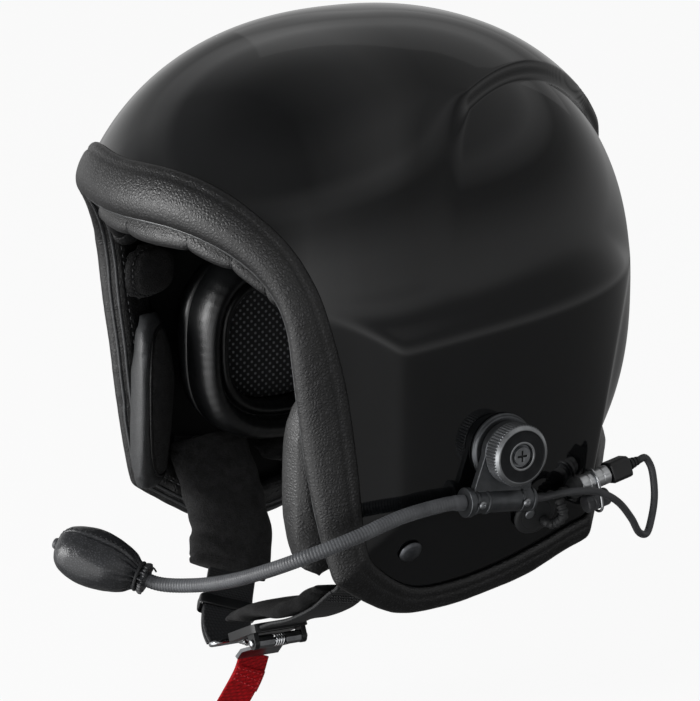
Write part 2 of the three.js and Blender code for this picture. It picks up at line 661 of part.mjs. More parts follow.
const roomForCup = bowlRings(ear.depth, 0, 0).flat().map((p) => sideX(p.y, p.z) - shell.wall - p.x);
const mouth = min(...roomForCup) - ear.clearance;
const cupOut = bowlRings(ear.depth, 0, mouth);
const cupIn = bowlRings(ear.depth - ear.wall, ear.wall, mouth);
addPair("ear_cup", ringSolid([...cupOut, ...cupIn.toReversed()], {
  startTip: vec(mouth + ear.depth, ear.y, ear.z),
  endTip: vec(mouth + ear.depth - ear.wall, ear.y, ear.z),
}), blackPlastic);

// Ear seal: a soft ring with a high outer ridge and a lower inner one
const sealShares = [
  [0.02, 0], [0, 0.45], [0.14, 0.86], [0.34, 1], [0.54, 0.86],
  [0.64, 0.62], [0.78, 0.7], [0.95, 0.55], [1, 0.22], [0.96, 0],
];
const sealRings = sealShares.map(([inset, height]) =>
  earRing(mouth - gap - seal.thickness * height, seal.width * inset));
addPair("ear_seal", ringSolid(sealRings, { wrap: true }), blackLeather);
const grilleFace = mouth - gap;
addPair("speaker_grille", ringSolid([
  earRing(grilleFace - grille.thickness, seal.width + gap),
  earRing(grilleFace, seal.width + gap),
]), speakerCloth);
const speakerBack = mouth + speaker.depth;
addPair("speaker", turned([
  [mouth, 0], [mouth, speaker.radius], [speakerBack - speaker.magnetDepth, speaker.radius],
  [speakerBack - speaker.magnetDepth, speaker.magnetRadius], [speakerBack, speaker.magnetRadius], [speakerBack, 0],
]).translate(0, ear.y, ear.z), blackPlastic);
const spacerInner = mouth + ear.depth + gap;
const spacerWalls = circle(ear.y, spacer.z, spacer.radius).map(({ x: y, y: z }) => sideX(y, z));
const spacerOuter = min(...spacerWalls) - shell.wall - 2 * gap;
addPair("cup_spacer", disc(spacerInner, spacerOuter, spacer.radius).translate(0, ear.y, spacer.z), foamGrey);

// Chin strap anchors
const shankEnd = -shell.wall - looseGap - webbing.thickness - anchorWasher.thickness - 5 * gap;
addPair("strap_anchor", turnToLow(turned([
  [shankEnd, 0], [shankEnd, anchor.shankRadius], [gap, anchor.shankRadius], [gap, anchor.capRadius],
  [gap + anchor.capHeight * 0.35, anchor.capRadius], [gap + anchor.capHeight * 0.8, anchor.capRadius * 0.68],
  [gap + anchor.capHeight, anchor.capRadius * 0.3], [gap + anchor.capHeight, 0],
], 20)), steel);
const tabLevel = -shell.wall - looseGap - 2 * gap - webbing.thickness / 2;
const washerLevel = tabLevel - webbing.thickness / 2 - 1.5 * gap;
addPair("strap_washer", turnToLow(turnedRing([
  [washerLevel, anchor.shankRadius + gap], [washerLevel, anchorWasher.radius],
  [washerLevel - anchorWasher.thickness, anchorWasher.radius],
  [washerLevel - anchorWasher.thickness, anchor.shankRadius + gap],
], 20)), steel);

// Each strap tab runs from its anchor, inside the edge roll, to where the webbing starts
const acrossStrap = vec(0.05, 1, 0);
const withStrap = () => acrossStrap;
const tabStart = anchorPoint.clone().addScaledVector(lowNormal, tabLevel);
const tabBore = turnToLow(disc(shankEnd - cutOverrun, 0, tab.bore, 16));
const tabDown = vec(sin(podLowAngle), 0, -cos(podLowAngle)).multiplyScalar(cos(tabSkewAngle))
  .add(vec(0, -sin(tabSkewAngle), 0));
const tabAcross = lowNormal.clone().cross(tabDown).negate();
const tabTip = tabStart.clone().addScaledVector(tabDown, -tab.tipLength);

function strapTab(end, leaving) {
  const route = new THREE.CatmullRomCurve3([
    tabTip, tabStart, tabStart.clone().addScaledVector(tabDown, tab.straight),
    tabStart.clone().addScaledVector(tabDown, tab.turn).addScaledVector(lowNormal, -tab.inward),
    end.clone().addScaledVector(leaving, -tab.tipLength), end,
  ]);
  const acrossAt = (share) => tabAcross.clone().lerp(acrossStrap, smooth(0.3, 1, share));
  return cut(strap(route, 14, acrossAt, flatSection(webbing.width, webbing.thickness)), tabBore);
}

const underChin = ([aside, forward, down]) => vec(
  aside * anchorPoint.x, anchorPoint.y - forward * chin.forward, anchorPoint.z - down * chin.drop,
);
const leftStrapRoute = leftStrapRouteShares.map(underChin);
const rightStrapRoute = rightStrapRouteShares.map(underChin);
const towards = (route) => route[1].clone().sub(route[0]).normalize();
const leftLeaving = towards(leftStrapRoute);
const rightLeaving = towards(rightStrapRoute);
const mirrorPoint = (p) => vec(-p.x, p.y, p.z);
const leftTabEnd = leftStrapRoute[0].clone().addScaledVector(leftLeaving, -gap);
const rightTabEnd = rightStrapRoute[0].clone().addScaledVector(rightLeaving, -gap);
add("left_strap_tab", strapTab(leftTabEnd, leftLeaving), webbingBlack());
add("right_strap_tab", mirrored(strapTab(mirrorPoint(rightTabEnd), mirrorPoint(rightLeaving))), webbingBlack());

// The buckle's own frame
const bucklePoint = underChin(buckleShares);
const buckleAhead = vec(...buckleAheadShares).normalize();
const buckleOut = buckleAhead.clone().cross(acrossStrap).normalize();
const buckleAcross = buckleOut.clone().cross(buckleAhead).normalize();
const toBuckle = new THREE.Matrix4()
  .makeBasis(buckleAhead, buckleAcross, buckleOut)
  .setPosition(bucklePoint);
const inBuckle = (x, y, z) => vec(x, y, z).applyMatrix4(toBuckle);

const hookFrom = buckle.length / 2 + gap;
const barrelEnd = hookFrom + hook.length;
const ringEnd = barrelEnd + hookRing.length;
const leftCurve = new THREE.CatmullRomCurve3([
  leftStrapRoute[0].clone().addScaledVector(leftLeaving, strapHinge), ...leftStrapRoute.slice(1),
  inBuckle(-buckle.length / 2 - buckle.leadIn, 0, 0), inBuckle(-buckle.length / 2 - gap, 0, 0),
]);
add("left_strap", strap(leftCurve, 18, withStrap, flatSection(webbing.width, webbing.thickness)), webbingBlack());
const rightCurve = new THREE.CatmullRomCurve3([
  rightStrapRoute[0].clone().addScaledVector(rightLeaving, strapHinge), ...rightStrapRoute.slice(1),
  inBuckle(ringEnd + hookRing.lead, 0, -hookRing.rise),
  inBuckle(ringEnd + webbing.thickness / 2 + 2 * gap, 0, 0),
]);
add("right_strap", strap(rightCurve, 26, withStrap, flatSection(webbing.width, webbing.thickness)), webbingBlack());

// Part of a curve between two shares of its length
function part(curve, from, to, count = 12) {
  return new THREE.CatmullRomCurve3(
    Array.from({ length: count + 1 }, (_, i) => curve.getPointAt(from + ((to - from) * i) / count)),
  );
}

// The pads lie on the neck side of the straps; the left one also covers the buckle
const leftSide = -1;
const rightSide = 1;
const padBase = webbing.thickness / 2 + 2 * gap;
const neckSection = (width, thickness, side) => (share) =>
  paddedSection(width, thickness, padBase)(share).map(([w, h]) => [w, side * h]);
const leftPadSection = neckSection(fleece.nearWidth, fleece.nearThickness, leftSide);
const rightPadSection = neckSection(fleece.width, fleece.thickness, rightSide);
const overBuckle = [-buckle.length / 2, 0, buckle.length / 3].map((x) => inBuckle(x, 0, -fleece.lift));
const chinPadCurve = new THREE.CatmullRomCurve3([
  ...[0.1, 0.4, 0.7].map((share) => leftCurve.getPointAt(share)), ...overBuckle,
]);
add("left_strap_pad", strap(chinPadCurve, 12, withStrap, leftPadSection), greyFleece());
add("right_strap_pad", strap(part(rightCurve, 0.02, 0.56), 12, withStrap, rightPadSection), greyFleece());

// Buckle body: a slotted plate with two ears that carry the lever's pin
const place = (geometry) => geometry.applyMatrix4(toBuckle);
const pinHeight = buckle.thickness / 2 + leverPin.height;
const earY = lever.width / 2 + gap;
const earPlate = (y) => plate([
  new THREE.Vector2(leverPin.along - ears.radius, buckle.thickness / 4),
  new THREE.Vector2(leverPin.along + ears.radius, buckle.thickness / 4),
  ...circle(leverPin.along, pinHeight, ears.radius, 16).slice(0, 9),
], ears.thickness, [circle(leverPin.along, pinHeight, leverPin.radius + gap, 12)])
  .rotateX(90 * degrees).translate(0, y + ears.thickness, 0);
const slotAt = -buckle.length / 2 + buckleSlot.inset + buckleSlot.length / 2;
const hookSlotAt = buckle.length / 2 - hookSlot.inset - hookSlot.length / 2;
const frame = plate(roundedRectangle(buckle.length / 2, buckle.width / 2, buckle.corner), buckle.thickness, [
  rectangle(slotAt, 0, buckleSlot.length / 2, buckleSlot.width / 2),
  rectangle(hookSlotAt, 0, hookSlot.length / 2, hookSlot.width / 2),
]).translate(0, 0, -buckle.thickness / 2);
add("buckle_body", place(join(frame, earPlate(earY), earPlate(-earY - ears.thickness))), blackPlastic());

// Lever: an eye on the pin, a flat tongue over the hook, and a lifted tip
const leverProfile = [
  [0, lever.eye], [lever.length * 0.3, lever.eye * 0.75], [lever.length * 0.75, lever.eye * 0.6],
  [lever.length, lever.lift * 0.62], [lever.length + lever.tip * 0.4, lever.lift * 0.62 - lever.thickness],
  [lever.length * 0.78, lever.eye * 0.6 - lever.thickness], [lever.length * 0.3, lever.eye * 0.75 - lever.thickness],
  [0, -lever.eye], [-lever.eye * 0.7, -lever.eye * 0.7], [-lever.eye, 0], [-lever.eye * 0.7, lever.eye * 0.7],
].map(([x, z]) => new THREE.Vector2(leverPin.along + x, pinHeight + z));
const leverBlank = plate(leverProfile, lever.width, [circle(leverPin.along, pinHeight, leverPin.radius + gap, 12)])
  .rotateX(90 * degrees).translate(0, lever.width / 2, 0);
const springWidth = spring.turns * spring.pitch + 2 * spring.wire;
const pocketOutline = rectangle(leverPin.along, pinHeight, lever.eye + gap, lever.eye + 2 * gap);
const springPocket = plate(pocketOutline, springWidth + 2 * gap)
  .rotateX(90 * degrees).translate(0, springWidth / 2 + gap, 0);
add("buckle_lever", place(cut(leverBlank, springPocket)), steel());
const pinHalf = earY + ears.thickness + leverPin.overhang;
add("lever_pin", place(disc(-pinHalf, pinHalf, leverPin.radius, 14).rotateZ(90 * degrees)
  .translate(leverPin.along, 0, pinHeight)), steel());

// Return spring wound round the pin
class Helix extends THREE.Curve {
  getPoint(t) {
    const a = t * spring.turns * 2 * Math.PI;
    const y = (t - 0.5) * (springWidth - 2 * spring.wire);
    return inBuckle(leverPin.along + spring.radius * cos(a), y, pinHeight + spring.radius * sin(a));
  }
}
console.log("least gap between the spring's turns:", (spring.pitch - 2 * spring.wire).toFixed(2), "mm");
add("lever_spring", tube(new Helix(), spring.turns * 8, 5, () => spring.wire), steel());

// Hook: a turned barrel with a collar, and a flat ring that the right strap is sewn through
const barrel = turned([
  [hookFrom, 0], [hookFrom, hook.radius], [hookFrom + hook.collarLength, hook.radius],
  [hookFrom + hook.collarLength, hook.collarRadius], [hookFrom + 2 * hook.collarLength, hook.collarRadius],
  [hookFrom + 2 * hook.collarLength, hook.radius], [barrelEnd, hook.radius * 0.8], [barrelEnd, 0],
], 16);
const ringHalf = (hookRing.length + hookRing.overlap) / 2;
const ringPlate = (inset, thickness) => plate(
  roundedRectangle(ringHalf - inset, hookRing.width / 2 - inset, (hookRing.bar - inset) / 2 + gap), thickness,
).translate(ringEnd - ringHalf, 0, -thickness / 2);
const ringFrame = cut(ringPlate(0, hookRing.thickness), ringPlate(hookRing.bar, hookRing.thickness + cutOverrun));
add("strap_hook", place(join(barrel, ringFrame)), steel());

// Red pull tab, sewn to the lever's tip and hanging from it
const leverTip = leverPin.along + lever.length + lever.tip * 0.4;
const tabTop = inBuckle(leverTip + gap + redTab.thickness / 2, 0, pinHeight + lever.lift * 0.62 - lever.thickness);
const redAcross = vec(0.2, 0.97, -0.1);
const redCurve = new THREE.CatmullRomCurve3([
  tabTop, tabTop.clone().add(vec(-redTab.inward * 0.2, -redTab.forward * 0.2, -redTab.drop * 0.3)),
  tabTop.clone().add(vec(-redTab.inward * 0.6, -redTab.forward * 0.6, -redTab.drop * 0.68)),
  tabTop.clone().add(vec(-redTab.inward, -redTab.forward, -redTab.drop)),
]);
add("pull_tab", strap(redCurve, 10, () => redAcross, flatSection(redTab.width, redTab.thickness)), redWebbing());

// Boom swivel
const baseOut = gap + swivel.base;
add("swivel_base", toSwivel(turnedRing([
  [gap, swivel.postRadius + gap], [gap, swivel.baseRadius], [baseOut - swivel.base * 0.4, swivel.baseRadius],
  [baseOut, swivel.baseRadius * 0.9], [baseOut, swivel.postRadius + gap],
], 28)), darkMetal());
const washerFrom = baseOut + gap;
const bracketFrom = washerFrom + washer.thickness + gap;
const bracketTo = bracketFrom + bracket.thickness;
const knobFrom = bracketTo + gap;
const knobTo = knobFrom + knob.depth;
const screwSeat = knobTo - knob.recess;
const headSeat = circle(swivel.y, swivel.z, swivel.headRadius).map(({ x: y, y: z }) => sideX(y, z, shell.wall));
const headFrom = min(...headSeat) - swivelX - gap - swivel.head;
const postTo = screwSeat - 2 * gap;
add("swivel_post", toSwivel(turned([
  [headFrom, 0], [headFrom, swivel.headRadius], [headFrom + swivel.head, swivel.headRadius],
  [headFrom + swivel.head, swivel.postRadius], [postTo, swivel.postRadius], [postTo, 0],
], 18)), steel());
add("friction_washer", toSwivel(turnedRing([
  [washerFrom, swivel.postRadius + gap], [washerFrom, washer.radius],
  [washerFrom + washer.thickness, washer.radius], [washerFrom + washer.thickness, swivel.postRadius + gap],
], 28)), blackRubber());

// Bracket: an eye on the post that tapers down to the clamp tube for the gooseneck
const clampCentre = vec((bracketFrom + bracketTo) / 2, bracket.dropY, -bracket.drop);
const clampAxis = vec(0, -cos(clampTiltAngle), sin(clampTiltAngle));
const clampTurn = new THREE.Quaternion().setFromUnitVectors(vec(1, 0, 0), clampAxis);
const eyeOutline = [
  ...circle(0, 0, bracket.eyeRadius, 28).slice(0, 15),
  new THREE.Vector2(bracket.dropY - bracket.footHalf, -bracket.drop),
  new THREE.Vector2(bracket.dropY + bracket.footHalf, -bracket.drop),
];
const eyePlate = plate(eyeOutline, bracket.thickness, [circle(0, 0, swivel.postRadius + gap, 16)])
  .rotateX(90 * degrees).rotateZ(90 * degrees).translate(bracketFrom, 0, 0);
const clampTube = turned([
  [-clamp.halfLength, 0], [-clamp.halfLength, clamp.radius],
  [clamp.halfLength - clamp.flange, clamp.radius], [clamp.halfLength - clamp.flange, clamp.flangeRadius],
  [clamp.halfLength, clamp.flangeRadius], [clamp.halfLength, 0],
], 20).applyQuaternion(clampTurn).translate(clampCentre.x, clampCentre.y, clampCentre.z);
add("boom_bracket", toSwivel(join(eyePlate, clampTube)), darkMetal());

// Small screws on the clamp's outer face
for (const [i, side] of [-1, 1].entries()) {
  const along = side * (clamp.halfLength - clamp.flange - clampScrew.inset);
  const seatX = clampCentre.x + clamp.radius + gap;
  const at = clampCentre.clone().addScaledVector(clampAxis, along);
  add("clamp_screw_" + (i + 1), toSwivel(turned([
    [0, 0], [0, clampScrew.radius], [clampScrew.head * 0.6, clampScrew.radius],
    [clampScrew.head, clampScrew.radius * 0.6], [clampScrew.head, 0],
  ], 14).translate(seatX, at.y, at.z)), steel());
}

// Knob: knurled edge, chamfered face, a recess for the screw
const knurled = Array.from({ length: 2 * knurlCount }, (_, i) => {
  const a = (i / (2 * knurlCount)) * 2 * Math.PI;
  const r = knob.radius - (i % 2) * knob.knurl;
  return new THREE.Vector2(r * cos(a), r * sin(a));
});
const knobBlank = plate(knurled, knob.depth - knob.chamfer, [circle(0, 0, swivel.postRadius + gap, 18)])
  .rotateX(90 * degrees).rotateZ(90 * degrees).translate(knobFrom, 0, 0);
const face = turnedRing([
  [knobTo - knob.chamfer, knob.recessRadius], [knobTo - knob.chamfer, knob.radius - knob.knurl],
  [knobTo, knob.radius - knob.knurl - knob.chamfer], [knobTo, knob.recessRadius],
], 36);
const recess = disc(screwSeat, knobTo + cutOverrun, knob.recessRadius, 18);
add("boom_knob", toSwivel(cut(join(knobBlank, face), recess)), darkMetal());
const crossBar = (turn) => plate(
  rectangle(0, 0, knobScrew.radius * 0.62, knobScrew.slot / 2), cutOverrun,
).rotateZ(turn).rotateX(90 * degrees).rotateZ(90 * degrees)
  .translate(screwSeat + gap + knobScrew.head - knobScrew.slotDepth, 0, 0);
add("knob_screw", toSwivel(cut(
  disc(screwSeat + gap, screwSeat + gap + knobScrew.head, knobScrew.radius, 20), crossBar(0), crossBar(90 * degrees),
)), steel());

// Gooseneck: a wound metal tube, plain at both ends
const clampFront = toSwivelPoint(clampCentre.clone().addScaledVector(clampAxis, clamp.halfLength));
function toSwivelPoint(p) {
  return p.add(vec(swivelX, swivel.y, swivel.z));
}
const neckStart = clampFront.clone().addScaledVector(clampAxis, gap);
const neckRoute = gooseneckRouteShares.map((p) => neckStart.clone().addScaledVector(vec(...p), gooseneck.reach));
const neckCurve = new THREE.CatmullRomCurve3([
  neckStart, neckStart.clone().addScaledVector(clampAxis, gooseneck.plain), ...neckRoute,
]);
const neckLength = neckCurve.getLength();
const plainShare = gooseneck.plain / neckLength;
const ribRadius = (share) => {
  const along = (share - plainShare) / (1 - 2 * plainShare);
  const ribbed = along > 0 && along < 1;
  const step = Math.round(share * (2 * gooseneckRibs));
  return gooseneck.radius - (ribbed && step % 2 ? gooseneck.groove : 0);
};
add("gooseneck", tube(neckCurve, 2 * gooseneckRibs, 8, ribRadius), darkMetal());
console.log("gooseneck length:", neckLength.toFixed(0), "mm");

// Microphone: a capsule on the gooseneck's end, in a gathered leather sock
const neckEnd = neckCurve.getPointAt(1);
const micAhead = neckCurve.getTangentAt(1);
const micTurn = new THREE.Quaternion().setFromUnitVectors(vec(1, 0, 0), micAhead);
const toMic = (geometry) => geometry.applyQuaternion(micTurn).translate(neckEnd.x, neckEnd.y, neckEnd.z);
const capsuleEnd = gap + capsule.length;
add("mic_capsule", toMic(turned([
  [gap, 0], [gap, gooseneck.radius], [capsule.offset, gooseneck.radius], [capsule.offset + 2, capsule.radius],
  [capsuleEnd - 3, capsule.radius], [capsuleEnd, capsule.radius * 0.6], [capsuleEnd, 0],
], 20)), blackPlastic());
const muffProfile = (grow) => {
  const end = muff.length - muff.cuff - muff.wall + grow;
  return [
    [-muff.cuff * 0.4, muff.neck + grow * 1.2], [0, muff.neck + grow],
    [muff.length * 0.12, muff.radius * 0.72 + grow], [muff.length * 0.3, muff.radius - muff.wall + grow],
    [muff.length * 0.56, muff.radius * 0.98 - muff.wall + grow], [end * 0.93, muff.radius * 0.62 + grow], [end, 0],
  ];
};
const muffGeometry = turned([
  ...muffProfile(muff.wall).toReversed(), ...muffProfile(0),
], 16);
add("mic_muff", toMic(muffGeometry), blackLeather());
const cordAt = -muff.cuff * 0.2;
const cordRadius = muff.neck + 1.2 * muff.wall + drawcord.clearance + drawcord.wire;
const cordLoop = new THREE.TorusGeometry(cordRadius, drawcord.wire, 5, 18).rotateY(90 * degrees);
const lock = disc(0, cordLock.length, cordLock.radius, 12).rotateZ(-90 * degrees)
  .translate(0, -cordRadius, 0);
add("mic_drawcord", toMic(join(cordLoop, lock).translate(cordAt, 0, 0)), webbingBlack());

// Lead patch on the pod and its screw
const patchNormal = surfaceNormal(patch.y, patch.z);
function surfaceNormal(y, z) {
  const step = roll.round;
  const here = vec(sideX(y, z), y, z);
  const back = vec(sideX(y + step, z), y + step, z).sub(here);
  const above = vec(sideX(y, z + step), y, z + step).sub(here);
  return back.cross(above).normalize();
}
const patchTurn = new THREE.Quaternion().setFromUnitVectors(vec(1, 0, 0), patchNormal);
const patchCentre = vec(sideX(patch.y, patch.z), patch.y, patch.z);
const toPatch = (geometry) => geometry.applyQuaternion(patchTurn)
  .translate(patchCentre.x, patchCentre.y, patchCentre.z);
const patchFrom = 3 * gap;
const patchTo = patchFrom + patch.thickness;
add("lead_patch", toPatch(turned([
  [patchFrom, 0], [patchFrom, patch.radius], [patchTo - patch.bevel, patch.radius],
  [patchTo, patch.radius - patch.bevel], [patchTo, 0],
], 28)), blackRubber());
add("patch_screw", toPatch(turned([
  [0, 0], [0, patchScrew.radius], [patchScrew.head * 0.6, patchScrew.radius],
  [patchScrew.head, patchScrew.radius * 0.6], [patchScrew.head, 0],
], 16).translate(patchTo + gap, -patchScrew.offset, patchScrew.offset * 0.4)), steel());

// Plug and socket on one axis behind the pod
const plugAxis = vec(0, cos(plugRise), sin(plugRise));
const plugReach = plug.boot + plug.sleeve + plug.body;
const plugSide = [0, 0.25, 0.5, 0.75, 1].map((share) => sideX(
  plug.y + share * plugReach * cos(plugRise), plug.z + share * plugReach * sin(plugRise),
));
const plugStart = vec(max(...plugSide) + plug.standOff, plug.y, plug.z);
const plugTurn = new THREE.Quaternion().setFromUnitVectors(vec(1, 0, 0), plugAxis);
const toPlug = (geometry) => geometry.applyQuaternion(plugTurn).translate(plugStart.x, plugStart.y, plugStart.z);
const sleeveFrom = plug.boot + gap;
const bodyFrom = sleeveFrom + plug.sleeve + gap;
const reliefFrom = bodyFrom + plug.body + gap;
const reliefTo = reliefFrom + relief.length;
add("socket_boot", toPlug(turned([
  [0, 0], [0, plug.bootRadius * 0.7], [plug.boot * 0.4, plug.bootRadius], [plug.boot, plug.bootRadius], [plug.boot, 0],
], 18)), blackRubber());
add("plug_sleeve", toPlug(disc(sleeveFrom, sleeveFrom + plug.sleeve, plug.sleeveRadius, 20)), steel());
const plugOutline = roundedRectangle(plug.bodyHalf, plug.bodyHalf, plug.bodyHalf * 0.4);
add("plug_body", toPlug(plate(plugOutline, plug.body)
  .rotateY(90 * degrees).translate(bodyFrom, 0, 0)), blackPlastic());
const reliefProfile = [[reliefFrom, 0], [reliefFrom, relief.radius]];
for (let i = 0; i < relief.ribs; i++) {
  const x = reliefFrom + (relief.length * (i + 0.6)) / (relief.ribs + 0.6);
  const r = relief.radius - ((relief.radius - lead.radius) * (i + 0.6)) / (relief.ribs + 0.6);
  reliefProfile.push([x, r], [x + relief.length * 0.06, r - relief.groove]);
  reliefProfile.push([x + relief.length * 0.12, r - relief.groove * 0.4]);
}
reliefProfile.push([reliefTo, lead.radius], [reliefTo, 0]);
add("plug_relief", toPlug(turned(reliefProfile, 12)), blackRubber());

// Boom lead, from the clamp's rear end to the plug's strain relief
const clampRear = toSwivelPoint(clampCentre.clone().addScaledVector(clampAxis, -clamp.halfLength - gap));
const reliefEnd = plugStart.clone().addScaledVector(plugAxis, reliefTo + gap);
const leadCurve = new THREE.CatmullRomCurve3([
  clampRear, clampRear.clone().addScaledVector(clampAxis, -3 * lead.radius), ...leadRoute,
  reliefEnd.clone().addScaledVector(plugAxis, 2 * lead.radius), reliefEnd,
]);
console.log("boom lead length:", leadCurve.getLength().toFixed(0), "mm");
add("boom_lead", tube(leadCurve, 40, 6, () => lead.radius), blackRubber());

// Short ribbed lead from the patch to the socket boot
const socketEnd = plugStart.clone().addScaledVector(plugAxis, -gap);
const onPatch = (out, rear, up) => vec(out, rear, up).applyQuaternion(patchTurn).add(patchCentre);
const leadBow = patchTo + gap + socketLead.bow;
const socketCurve = new THREE.CatmullRomCurve3([
  onPatch(patchTo + gap, socketLead.rear, -socketLead.down),
  onPatch(patchTo + gap + socketLead.radius, socketLead.rear, -socketLead.down),
  onPatch(leadBow, socketLead.rear + socketLead.radius, -socketLead.down),
  onPatch(leadBow + socketLead.radius, socketLead.rear + 2 * socketLead.radius, socketLead.down),
  socketEnd.clone().addScaledVector(plugAxis, -2 * socketLead.radius), socketEnd,
]);
add("socket_lead", tube(socketCurve, 4 * socketLead.ribs, 8, (share) => {
  const step = Math.round(share * 4 * socketLead.ribs);
  const ribbed = share > 0.12 && share < 0.88;
  return socketLead.radius - (ribbed && step % 2 ? socketLead.groove : 0);
}), blackRubber());

// Spare connector below the plug, held to the sleeve by a wire clip
const stubFrom = sleeveFrom + stub.back;
add("spare_connector", toPlug(turned([
  [stubFrom, 0], [stubFrom, stub.radius], [stubFrom + stub.length, stub.radius],
  [stubFrom + stub.length, 0],
], 18).translate(0, 0, -stub.drop)), greyPlastic());
const clipAt = stubFrom + stub.length / 2;
const clipReach = plug.sleeveRadius + clip.wire + gap;
const clipDrop = stub.drop / 2;
const clipPoints = Array.from({ length: 20 }, (_, i) => {
  const a = (i / 20) * 2 * Math.PI;
  const low = sin(a) < 0 ? -2 * clipDrop : 0;
  return vec(clipAt, clipReach * cos(a), clipReach * sin(a) + low);
});
add("wire_clip", toPlug(tube(new THREE.CatmullRomCurve3(clipPoints, true), 28, 5, () => clip.wire)), steel());

export default helmet;
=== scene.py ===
# %% [markdown]
# # A flight helmet, dressed in Blender
# The helmet comes in as a frame of solids that already turn and swing at their joints. This lesson
# builds the skin of each one: lacquer, grained leather, fleece, webbing, rubber and metal. Nothing is
# moved. Each new piece is made in place, in the helmet's own frame, and rides on the solid's body.

# %% Load the frame
import math

import bpy
import bmesh
import numpy as np
from mathutils import Matrix, Vector


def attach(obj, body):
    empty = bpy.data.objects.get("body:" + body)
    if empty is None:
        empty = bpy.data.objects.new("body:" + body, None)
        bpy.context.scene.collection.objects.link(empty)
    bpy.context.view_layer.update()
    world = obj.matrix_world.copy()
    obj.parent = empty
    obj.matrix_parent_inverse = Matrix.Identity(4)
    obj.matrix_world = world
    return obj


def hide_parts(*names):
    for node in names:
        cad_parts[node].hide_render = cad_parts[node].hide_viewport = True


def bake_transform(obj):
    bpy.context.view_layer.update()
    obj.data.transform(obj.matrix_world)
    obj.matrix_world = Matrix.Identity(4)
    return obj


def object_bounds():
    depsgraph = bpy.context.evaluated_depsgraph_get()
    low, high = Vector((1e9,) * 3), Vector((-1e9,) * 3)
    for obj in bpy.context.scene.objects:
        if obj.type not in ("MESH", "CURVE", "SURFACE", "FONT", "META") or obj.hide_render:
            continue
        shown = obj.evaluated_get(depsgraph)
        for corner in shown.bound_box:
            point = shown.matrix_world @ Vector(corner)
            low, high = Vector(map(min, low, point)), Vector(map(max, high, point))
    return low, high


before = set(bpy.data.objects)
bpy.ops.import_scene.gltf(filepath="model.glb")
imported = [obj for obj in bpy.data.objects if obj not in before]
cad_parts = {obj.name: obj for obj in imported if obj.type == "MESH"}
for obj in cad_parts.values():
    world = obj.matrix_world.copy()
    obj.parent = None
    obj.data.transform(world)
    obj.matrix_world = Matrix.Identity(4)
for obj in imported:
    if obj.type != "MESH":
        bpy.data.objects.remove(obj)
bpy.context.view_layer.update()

# %% [markdown]
# The helmet was measured in millimetres, and Blender's frame is in metres. So the sizes below stay in
# millimetres, and one number turns them into metres when a mesh is made.

# %% Units and small number helpers
MM = 0.001


def vec(*numbers):
    return np.array(numbers, float)


def unit(v):
    v = np.asarray(v, float)
    return v / np.linalg.norm(v, axis=-1, keepdims=True)


def smooth(low, high, value):
    t = np.clip((np.asarray(value, float) - low) / (high - low), 0, 1)
    return t * t * (3 - 2 * t)


def turn_about(axis, angle):
    return np.array(Matrix.Rotation(angle, 3, Vector(axis)), float)


def circle(count):
    """Angles spaced evenly round one turn."""
    return np.arange(count) / count * 2 * math.pi


print("one millimetre is", MM, "m")

# %% [markdown]
# A smooth line through a few given points is the start of every strap, tube and lead. This one
# spaces its points evenly along the line, and it passes through each chosen point, as a piece of wire
# would that is bent over nails.

# %% Smooth lines
def spline(points, per_span=40, closed=False, even=False):
    pts = np.asarray(points, float)
    if closed:
        ring = np.vstack([pts[-1:], pts, pts[:2]])
    else:
        ring = np.vstack([2 * pts[:1] - pts[1:2], pts, 2 * pts[-1:] - pts[-2:-1]])
    rows = []
    for a, b, c, d in zip(ring[:-3], ring[1:-2], ring[2:-1], ring[3:]):
        gaps = [max(np.linalg.norm(q - p), 1e-6) for p, q in ((a, b), (b, c), (c, d))]
        s, t, u = [1.0 if even else gap ** 0.5 for gap in gaps]
        m = ((b - a) / s - (c - a) / (s + t) + (c - b) / t) * t
        n = ((c - b) / t - (d - b) / (t + u) + (d - c) / u) * t
        w = np.arange(per_span)[:, None] / per_span
        rows.append(b + m * w + (3 * (c - b) - 2 * m - n) * w**2 + (2 * (b - c) + m + n) * w**3)
    if not closed:
        rows.append(pts[-1:])
    return np.vstack(rows)


def closed_up(line):
    return np.vstack([line, line[:1]])


def run_along(line):
    """How far each point lies along the line."""
    return np.concatenate([[0], np.cumsum(np.linalg.norm(np.diff(line, axis=0), axis=1))])


def evenly(line, count, closed=False):
    path = closed_up(line) if closed else line
    run = run_along(path)
    at = np.linspace(0, run[-1], count, endpoint=not closed)
    return np.stack([np.interp(at, run, path[:, k]) for k in range(3)], axis=1)


def length_of(line):
    return float(np.linalg.norm(np.diff(line, axis=0), axis=1).sum())


def relaxed(loop, times):
    """A closed line with each point drawn towards its neighbours, so that small kinks go."""
    for _ in range(times):
        loop = (np.roll(loop, 1, axis=0) + 2 * loop + np.roll(loop, -1, axis=0)) / 4
    return loop


def ahead_of(line, closed=False):
    if closed:
        return unit(np.roll(line, -1, axis=0) - np.roll(line, 1, axis=0))
    return unit(np.gradient(line, axis=0))


print("a quarter bend of three nails:", round(length_of(spline([vec(0, 0, 0), vec(7, 3, 0), vec(10, 10, 0)])),
                                              2), "mm")

# %% [markdown]
# Most of the helmet's pieces are rings of points joined to each other: the shell, the edge roll, straps
# and tubes. One function makes a mesh of rings, and a second one turns any mesh into a named object.

# %% Meshes from rings of points
def ring_faces(rows, cols, wrap=False, start=0):
    """Squares between each ring and the next; wrap joins the last ring to the first."""
    faces = []
    for i in range(rows if wrap else rows - 1):
        here, there = start + i * cols, start + (i + 1) % rows * cols
        for j in range(cols):
            m = (j + 1) % cols
            faces.append((here + j, here + m, there + m, there + j))
    return faces


def in_scene(name, data):
    made = bpy.data.objects.new(name, data)
    bpy.context.scene.collection.objects.link(made)
    return made


